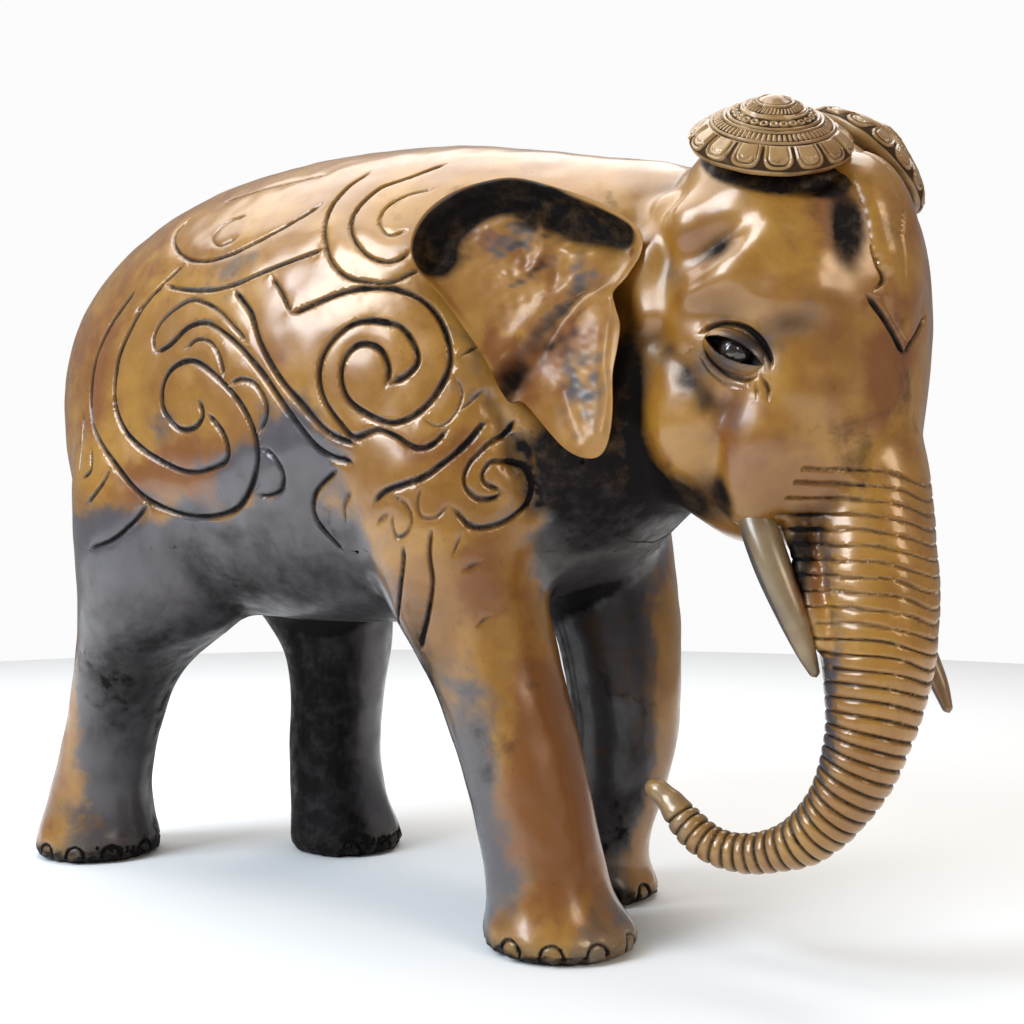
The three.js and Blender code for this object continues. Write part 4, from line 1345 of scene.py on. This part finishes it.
def lappet(tree):
    """A raised strip laid on the forehead, with two creases down it and worn edges."""
    rows = through(LAPPET, 0.5)
    rows = rows[np.linspace(0, len(rows) - 1, LAPPET_ROWS).astype(int)]
    across = np.sin(np.linspace(-1, 1, LAPPET_COLUMNS) * math.pi / 2)
    base, top = [], []
    for z, middle, half, proud in rows:
        for share in across:
            y = middle + share * half
            hit, normal, *_ = tree.ray_cast(Vector((FAR, y, z)), Vector((-1, 0, 0)))
            fade = smooth(276, 284, z)
            crease = 0.8 * bell(y - np.interp(z, *np.array(LAPPET_CREASE, float).T), 0.9)
            crease += 0.4 * bell(share - 0.72, 0.06)
            worn = 0.25 * math.sin(z * 0.9) * math.sin(z * 0.37) * abs(share) ** 4
            rise = proud * (1 - abs(share) ** 9) - (crease - worn) * fade
            base.append(hit - normal * LAPPET_ROOT)
            top.append(hit + normal * rise)
    count = LAPPET_ROWS * LAPPET_COLUMNS
    points = np.array([p[:] for p in top + base])
    sheet = grid_faces(LAPPET_ROWS, LAPPET_COLUMNS, closed=False)
    # the sheet's border, in order
    loop = np.concatenate([
        np.arange(LAPPET_COLUMNS),
        np.arange(1, LAPPET_ROWS) * LAPPET_COLUMNS + LAPPET_COLUMNS - 1,
        (LAPPET_ROWS - 1) * LAPPET_COLUMNS + np.arange(LAPPET_COLUMNS - 2, -1, -1),
        np.arange(LAPPET_ROWS - 2, 0, -1) * LAPPET_COLUMNS,
    ])
    ahead = np.roll(loop, -1)
    wall = np.stack([loop, loop + count, ahead + count, ahead], 1)
    triangles = outward(points, halved(np.vstack([sheet, sheet[:, ::-1] + count, wall])))
    return mesh_object("forehead_lappet_carving", points, triangles, sharp=50)


def eye(name, side):
    """A bead with a low round iris, looking outward between the lids."""
    polar = np.linspace(0, math.pi, EYE_RINGS + 2)[1:-1]
    angle = np.linspace(0, 2 * math.pi, EYE_SIDES, endpoint=False)
    radius = EYE_RADIUS + IRIS_RISE * smooth(IRIS_REACH, IRIS_REACH - 0.1, polar)
    across = (radius * np.sin(polar))[:, None]
    height = (radius * np.cos(polar))[:, None] + 0 * angle
    local = np.stack([across * np.cos(angle), across * np.sin(angle), height], -1).reshape(-1, 3)
    local = np.vstack([[0, 0, radius[0]], local, [0, 0, -radius[-1]]])
    centre, _, _, out = eye_frame(side)
    points = turned_to(local, out) + centre
    faces = quads_and_poles(points, EYE_RINGS, EYE_SIDES)
    rim = np.repeat(bell(polar - IRIS_REACH, 0.06), EYE_SIDES)
    return mesh_object(name + "_bead", points, faces, {"shade": with_poles(rim)}, sharp=80)


# ---- patina -------------------------------------------------------------------------------------

# Patches on both sides alike: centre, radii and strength of each. Rust is the patina's own; the cool patches
# are painted cool sheen and shade, the shade patches painted shade, as behind the ears, in the chest and
# round the eyes
PATCHES = {
    "rust": [
        ((241, -28, 246), (9, 12, 14), 1.0), ((241, -30, 222), (6, 10, 22), 0.6),
        ((224, -46, 250), (10, 10, 14), 0.35), ((172, -58, 300), (8, 9, 6), 0.6),
        ((223, -43, 306), (12, 9, 20), 1.0), ((205, -50, 318), (14, 9, 8), 0.4),
        ((184, -55, 226), (7, 9, 12), 0.7), ((150, -46, 214), (12, 12, 14), 0.6),
        ((136, -50, 301), (9, 10, 7), 1.0), ((206, -30, 160), (7, 10, 22), 1.0),
        ((74, -66, 170), (12, 22, 32), 0.8), ((96, -62, 118), (9, 22, 44), 0.9),
        ((110, -60, 60), (10, 22, 30), 0.8), ((40, -82, 150), (12, 20, 16), 0.5),
        ((212, -38, 160), (7, 8, 24), 0.9), ((-200, -62, 128), (12, 30, 44), 0.8),
        ((-222, -50, 70), (10, 34, 50), 0.8), ((-196, -70, 190), (16, 26, 26), 0.5),
        ((-118, -88, 205), (18, 20, 14), 0.7), ((-80, -92, 216), (20, 20, 12), 0.5),
        ((-150, -80, 262), (14, 20, 22), 0.5), ((36, -94, 254), (22, 20, 12), 0.4),
        ((-30, -96, 262), (26, 20, 10), 0.45), ((62, -84, 214), (22, 20, 12), 0.6),
    ],
    "cool_sheen_and_shade": [
        ((212, -53, 263), (16, 14, 9), 0.3), ((190, -52, 226), (12, 10, 12), 0.5),
        ((160, -58, 286), (12, 12, 14), 0.45), ((108, -30, 176), (30, 34, 24), 0.8),
        ((74, -72, 84), (14, 22, 40), 0.8), ((84, -70, 30), (20, 22, 22), 0.75), (EYE, (18, 14, 12), 0.8),
        ((-12, -96, 222), (22, 24, 20), 0.85), ((-34, -96, 206), (30, 24, 16), 0.9),
        ((-55, -86, 302), (30, 24, 16), 0.5), ((76, -94, 254), (14, 24, 22), 0.55),
        ((-100, -92, 232), (12, 24, 12), 0.5),
    ],
    "shade": [
        ((212, -53, 262), (15, 14, 8), 0.6), ((181, -58, 293), (11, 9, 7), 0.7),
        ((228, -40, 300), (8, 8, 20), 1.3), ((156, -56, 254), (8, 9, 8), 0.8),
        ((167, -58, 243), (7, 9, 7), 0.95), ((175, -57, 233), (6, 9, 8), 0.8),
        ((178, -47, 194), (7, 9, 12), 0.9), ((158, -38, 192), (20, 16, 12), 0.95),
        ((128, -46, 232), (9, 14, 34), 0.95), ((128, -30, 198), (26, 30, 24), 1.1),
        ((112, -56, 222), (12, 18, 22), 0.9), ((205, -28, 172), (7, 8, 14), 0.9),
        ((64, -66, 132), (10, 20, 34), 0.3), ((48, -60, 110), (9, 30, 60), 0.5),
        ((208, -37, 164), (6, 6, 28), 1.1), (EYE, (14, 14, 8), 1.0), ((139, -56, 244), (8, 12, 36), 1.2),
        ((116, -70, 204), (18, 18, 22), 1.2),
    ],
}


def field_of(mesh, name):
    """A field's value at each point of a mesh, or zeros if the mesh has none."""
    values = np.zeros(len(mesh.vertices), np.float32)
    if name in mesh.attributes:
        mesh.attributes[name].data.foreach_get("value", values)
    return values


def patina_fields(obj):
    """Sets each point's rust, painted cool sheen and painted shade, from where it lies and which way it
    faces.
    """
    points = points_of(obj)
    mesh = obj.data
    x, y, z = points.T
    facing = np.stack([field_of(mesh, name) for name in FACINGS], 1)
    if not facing.any():
        facing = facing.ravel()
        mesh.vertex_normals.foreach_get("vector", facing)
        facing = facing.reshape(-1, 3)
    fields = {name: field_of(mesh, name) for name in ("rust", "cool_sheen_and_shade", "shade")}
    wander = 6 * ripples(points, SEED + 4, 25, 70)
    # regions, each between places in mm and by how squarely a point faces a way; they carry painted shade and
    # painted cool shade on undersides, inner and rear faces, low down and at the soles
    behind_head = smooth(135, 110, x)
    under = smooth(0.1, -0.7, facing[:, 2]) * behind_head
    low_flank = smooth(204, 174, z + wander) * smooth(30, 14, x) * smooth(-204, -168, x)
    inward = smooth(0.1, 0.7, -facing[:, 1] * np.sign(y)) * smooth(195, 165, z) * behind_head
    backward = smooth(0.3, 0.9, -facing[:, 0]) * smooth(190, 150, z) * smooth(-190, -130, x)
    lower = smooth(150, 60, z) * behind_head * smooth(60, -40, x)
    # painted cool sheen down the trunk's rear and round its curl
    trunk_rear = smooth(0.2, -0.8, facing[:, 0]) * smooth(180, 190, x) * smooth(216, 200, z)
    curl = (trunk_rear + smooth(170, 150, x) * (x > 120)) * smooth(205, 190, z)
    sole = smooth(15, 5, z) * (x < 140)
    cool_sheen_and_shade = 0.95 * low_flank + 0.6 * under + 0.7 * inward + 0.75 * backward + 0.25 * lower
    fields["cool_sheen_and_shade"] += cool_sheen_and_shade + 0.5 * curl
    shade = 0.2 * low_flank + 0.5 * under + 0.55 * inward + 0.25 * backward + 0.15 * lower
    fields["shade"] += shade + 0.55 * sole
    # painted shadow on the head just under each cap's rim
    if obj.name.startswith("head_block"):
        for base, tilt in CAPS.values():
            out, up = cap_place(points.T, base, tilt)
            fields["shade"] += 1.3 * smooth(-9, -4, up) * smooth(40, 34, out) * smooth(24, 34, np.abs(y))
    for name, values in fields.items():
        # the ears carry their own patches
        patches = () if obj.name.startswith("ear") else PATCHES[name]
        for centre, radii, strength in patches:
            for side in (1, -1):
                arm = (points - np.array(centre) * [1, side, 1]) / radii
                values += strength * np.exp(-(arm**2).sum(1))
        set_field(obj, name, np.clip(values, 0, 1))


class Nodes:
    """A material's node tree, written as calls."""

    def __init__(self, name):
        self.material = bpy.data.materials.new(name)
        self.material.use_nodes = True
        self.tree = self.material.node_tree
        self.shader = self.tree.nodes["Principled BSDF"]
        self.coordinates = self.tree.nodes.new("ShaderNodeTexCoord").outputs["Object"]

    def node(self, kind, inputs=(), **settings):
        """A node with its settings; its inputs are sockets to link or values to set."""
        node = self.tree.nodes.new(kind)
        for key, value in settings.items():
            setattr(node, key, value)
        for key, value in dict(inputs).items():
            if isinstance(value, bpy.types.NodeSocket):
                self.tree.links.new(value, node.inputs[key])
            else:
                node.inputs[key].default_value = value
        return node

    def math(self, operation, *values, clamp=False):
        return self.node("ShaderNodeMath", enumerate(values), operation=operation, use_clamp=clamp).outputs[0]

    def times(self, *values, clamp=False):
        return self.math("MULTIPLY", *values, clamp=clamp)

    def plus(self, *values):
        return self.math("ADD", *values)

    def field(self, name):
        return self.node("ShaderNodeAttribute", attribute_name=name).outputs["Fac"]

    def noise(self, scale, detail=4, roughness=0.55, distortion=0.0, stretch=(1, 1, 1)):
        place = self.node("ShaderNodeMapping", {"Vector": self.coordinates, "Scale": stretch}).outputs[0]
        inputs = {"Vector": place, "Scale": scale, "Detail": detail, "Roughness": roughness}
        return self.node("ShaderNodeTexNoise", {**inputs, "Distortion": distortion}).outputs["Fac"]

    def ramp(self, value, low, high, start=0.0, end=1.0):
        """A smooth change from start to end as value goes from low to high."""
        inputs = {"Value": value, "From Min": low, "From Max": high, "To Min": start, "To Max": end}
        return self.node("ShaderNodeMapRange", inputs, interpolation_type="SMOOTHSTEP").outputs[0]

    def mix(self, share, a, b):
        a, b = (c + (1,) if isinstance(c, tuple) else c for c in (a, b))
        return self.node("ShaderNodeMix", {0: share, 6: a, 7: b}, data_type="RGBA").outputs[2]

    def bump(self, height, strength, distance, normal=None):
        inputs = {"Height": height, "Strength": strength, "Distance": distance}
        if normal is not None:
            inputs["Normal"] = normal
        return self.node("ShaderNodeBump", inputs).outputs[0]

    def set(self, **values):
        """Links or sets the shader's own inputs, named with _ for a space."""
        for key, value in values.items():
            socket = self.shader.inputs[key.replace("_", " ")]
            if isinstance(value, bpy.types.NodeSocket):
                self.tree.links.new(value, socket)
            else:
                socket.default_value = value


GOLD = (0.25, 0.104, 0.010)
HONEY = (0.38, 0.182, 0.022)
RUST = (0.19, 0.058, 0.006)
# dark steel-blue that stands in for painted cool sheen and painted cool shade
SHEEN_AND_SHADE_GREY = (0.048, 0.052, 0.068)
# near-black for the patina in grooves and recesses, and for painted shade
DARK_PATINA_AND_SHADE = (0.006, 0.0045, 0.0045)
PALE = (0.55, 0.38, 0.16)
# the caps' near-black, for their grooves and for their painted shade
DARK_BROWN = (0.045, 0.024, 0.010)
EAR_GOLD, EAR_HONEY = (0.30, 0.135, 0.022), (0.42, 0.215, 0.042)
CAP_GOLD, CAP_HONEY = (0.28, 0.15, 0.045), (0.38, 0.225, 0.08)
TUSK_GOLD, TUSK_HONEY = (0.17, 0.11, 0.05), (0.28, 0.20, 0.11)
BEAD_BLACK, BEAD_BROWN = (0.010, 0.007, 0.005), (0.030, 0.020, 0.012)
BEECH, BEECH_DARK = (0.62, 0.43, 0.24), (0.42, 0.26, 0.13)


def patina(name, gold=GOLD, honey=HONEY, gloss=0.32, coat=0.65, deep=DARK_PATINA_AND_SHADE, dark_grooves=1.0):
    """Waxed wood with a bronze-like patina: gold, with rust in patches and black in its recesses, and painted
    cool sheen and painted shade where its fields say.
    """
    n = Nodes(name)
    # noises, by how many of their features go into a metre
    large = n.noise(9, 3, 0.5)
    patch = n.noise(24, 5, 0.6, 0.4)
    fine = n.noise(130, 6, 0.65)
    grain = n.noise(60, 5, 0.6, 0.3, (0.25, 1, 1))
    groove, bulge = n.field("groove"), n.field("bulge")
    # gold, then rusty patches, then the painted cool sheen and shade, with blotchy borders, then pale where
    # rubbed
    colour = n.mix(n.ramp(patch, 0.35, 0.7), gold, honey)
    colour = n.mix(n.times(n.ramp(grain, 0.5, 0.8), 0.35), colour, RUST)
    blotch = n.times(n.math("SUBTRACT", n.noise(60, 5, 0.6, 0.3), 0.5), 1.4)
    rust = n.plus(n.field("rust"), n.ramp(large, 0.45, 0.7, 0, 0.6))
    rust = n.ramp(n.plus(rust, blotch), 0.2, 0.8)
    colour = n.mix(n.times(rust, 0.9), colour, RUST)
    cool_sheen_and_shade = n.ramp(n.math("SUBTRACT", n.field("cool_sheen_and_shade"), blotch), 0.2, 0.8)
    colour = n.mix(n.times(cool_sheen_and_shade, 0.92), colour, SHEEN_AND_SHADE_GREY)
    worn = n.times(n.ramp(bulge, 1.2, 4.0), 0.3)
    colour = n.mix(worn, colour, PALE)
    # black in grooves, recesses and shaded patches, and less glossy there
    recess = n.ramp(bulge, 0.0, -2.2, 0, 0.7)
    stained = n.ramp(n.plus(patch, n.times(fine, 0.3)), 0.74, 0.92, 0, 0.55)
    shade = n.ramp(n.plus(n.field("shade"), n.times(blotch, 0.4)), 0.2, 0.95)
    dark = n.plus(n.times(groove, dark_grooves), shade)
    dark = n.plus(n.plus(dark, recess), stained)
    dark = n.times(dark, n.ramp(fine, 0.25, 0.6, 0.85, 1.0), clamp=True)
    colour = n.mix(dark, colour, deep)
    rough = n.plus(n.ramp(fine, 0.3, 0.7, gloss - 0.05, gloss + 0.08), n.times(dark, 0.25))
    # pits and unevenness too small for the mesh
    pits = n.ramp(n.noise(420, 3, 0.7), 0.62, 0.8)
    normal = n.bump(pits, 0.05, 0.0005)
    normal = n.bump(n.noise(48, 4, 0.5), 0.2, 0.001, normal)
    clean = n.math("SUBTRACT", 1.0, dark)
    n.set(Base_Color=colour, Roughness=rough, Normal=normal, Metallic=0.12, IOR=1.55)
    n.set(Specular_IOR_Level=n.math("MULTIPLY_ADD", clean, 0.4, 0.1))
    n.set(Coat_Weight=n.times(clean, coat), Coat_Roughness=0.17)
    return n.material


def eye_glass():
    """Near-black and glossy, with a darker ring round the iris."""
    n = Nodes("eye_patina")
    cloud = n.noise(240, 4, 0.6)
    colour = n.mix(n.ramp(cloud, 0.35, 0.7), BEAD_BLACK, BEAD_BROWN)
    colour = n.mix(n.times(n.field("shade"), 0.9), colour, DARK_PATINA_AND_SHADE)
    n.set(Base_Color=colour, Roughness=n.ramp(cloud, 0.3, 0.7, 0.12, 0.2))
    n.set(Coat_Weight=1.0, Coat_Roughness=0.04)
    return n.material


def bare_wood():
    """Unfinished beech, with its grain along the dowel."""
    n = Nodes("dowel_beech")
    rings = n.noise(90, 6, 0.6, 0.5, (1, 1, 0.12))
    colour = n.mix(n.ramp(rings, 0.35, 0.7), BEECH, BEECH_DARK)
    n.set(Base_Color=colour, Roughness=n.ramp(rings, 0.3, 0.7, 0.6, 0.75), Normal=n.bump(rings, 0.3, 0.0005))
    return n.material


# ---- assembly -----------------------------------------------------------------------------------

FINISHES = {
    "carved_wood": patina("carved_patina"),
    "trunk_wood": patina("trunk_patina", dark_grooves=1.5),
    "ear_wood": patina("ear_patina", EAR_GOLD, EAR_HONEY, gloss=0.46, coat=0.2),
    "cap_wood": patina("cap_patina", CAP_GOLD, CAP_HONEY, gloss=0.42, deep=DARK_BROWN),
    "tusk_wood": patina("tusk_patina", TUSK_GOLD, TUSK_HONEY, gloss=0.36),
    "eye_bead": eye_glass(),
    "dowel_wood": bare_wood(),
}


def add_piece(obj, node, slot):
    """Lets a piece stand for its CAD node on the carving, in one of the record's finishes."""
    if slot != "eye_bead":
        patina_fields(obj)
    obj.data.materials.clear()
    obj.data.materials.append(FINISHES[slot])
    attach(obj, "root")
    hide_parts(node)


for name in BLOCKS:
    add_piece(block(name), name, "trunk_wood" if name == "trunk_lower" else "carved_wood")

head = bpy.data.objects["head_block_carving"]
head_tree = BVHTree.FromPolygons(points_of(head).tolist(), [tuple(p.vertices) for p in head.data.polygons])
add_piece(lappet(head_tree), "forehead_lappet", "carved_wood")
add_piece(tail(), "tail", "carved_wood")
for side_name, side in (("right", -1), ("left", 1)):
    add_piece(ear("ear_" + side_name, side), "ear_" + side_name, "ear_wood")
    add_piece(cap("head_cap_" + side_name), "head_cap_" + side_name, "cap_wood")
    add_piece(tusk("tusk_" + side_name), "tusk_" + side_name, "tusk_wood")
    add_piece(eye("eye_" + side_name, side), "eye_" + side_name, "eye_bead")
for name in DOWELS:
    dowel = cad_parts[name]
    dowel.data.materials.clear()
    dowel.data.materials.append(FINISHES["dowel_wood"])


# ---- camera, light and floor --------------------------------------------------------------------

CAMERA_PLACE = (416, -550, 185)
CAMERA_TURN = 34
CAMERA_LENS = 48
CAMERA_SHIFT = 0.0098
FLOOR_RADIUS = 1.3


def add_camera():
    """A level camera ahead of the elephant and to its right."""
    data = bpy.data.cameras.new("camera")
    data.lens = CAMERA_LENS
    data.shift_y = CAMERA_SHIFT
    camera = add_object("camera", data)
    camera.location = (np.array(CAMERA_PLACE) + [SHIFT, 0, 0]) / METRE
    camera.rotation_euler = (math.radians(90), 0, math.radians(CAMERA_TURN))
    bpy.context.scene.camera = camera


def add_softbox(name, place, target, size, power, colour):
    """A rectangular lamp that faces its target, in metres and watts."""
    data = bpy.data.lights.new(name, "AREA")
    data.shape = "RECTANGLE"
    data.size, data.size_y = size
    data.energy = power
    data.color = colour
    light = add_object(name, data)
    light.location = place
    light.rotation_euler = (Vector(target) - Vector(place)).to_track_quat("-Z", "Y").to_euler()


def add_floor():
    """A round of pale paper under the feet."""
    mesh = bpy.data.meshes.new("floor")
    turns = np.linspace(0, 2 * math.pi, 128, endpoint=False)
    edge = [(FLOOR_RADIUS * math.cos(turn), FLOOR_RADIUS * math.sin(turn), 0) for turn in turns]
    mesh.from_pydata(edge, [], [tuple(range(len(edge)))])
    floor = add_object("floor", mesh)
    n = Nodes("floor_paper")
    n.set(Base_Color=n.mix(n.noise(3, 2), (0.88, 0.88, 0.88), (0.90, 0.90, 0.90)), Roughness=0.9)
    mesh.materials.append(n.material)


def add_sky(light, backdrop):
    """An even sky that lights the carving less than it shows behind it."""
    world = bpy.data.worlds.new("sky")
    world.use_nodes = True
    tree = world.node_tree
    background = tree.nodes["Background"]
    seen = tree.nodes.new("ShaderNodeLightPath").outputs["Is Camera Ray"]
    strength = tree.nodes.new("ShaderNodeMapRange")
    tree.links.new(seen, strength.inputs["Value"])
    strength.inputs["To Min"].default_value = light
    strength.inputs["To Max"].default_value = backdrop
    tree.links.new(strength.outputs["Result"], background.inputs["Strength"])
    background.inputs["Color"].default_value = (1, 1, 1, 1)
    bpy.context.scene.world = world


add_camera()
add_softbox("overhead", (-0.3, 0.2, 1.5), (0, 0, 0.3), (2.0, 1.4), 26, (1.0, 0.99, 0.97))
add_softbox("window", (-0.6, -1.15, 1.0), (0.05, 0, 0.2), (0.7, 0.9), 25, (0.78, 0.89, 1.0))
add_softbox("lamp", (1.3, -0.3, 0.8), (0.2, 0, 0.2), (0.5, 0.5), 5, (1.0, 0.86, 0.68))
add_sky(0.27, 0.97)
add_floor()
bpy.context.scene.view_settings.view_transform = "Standard"
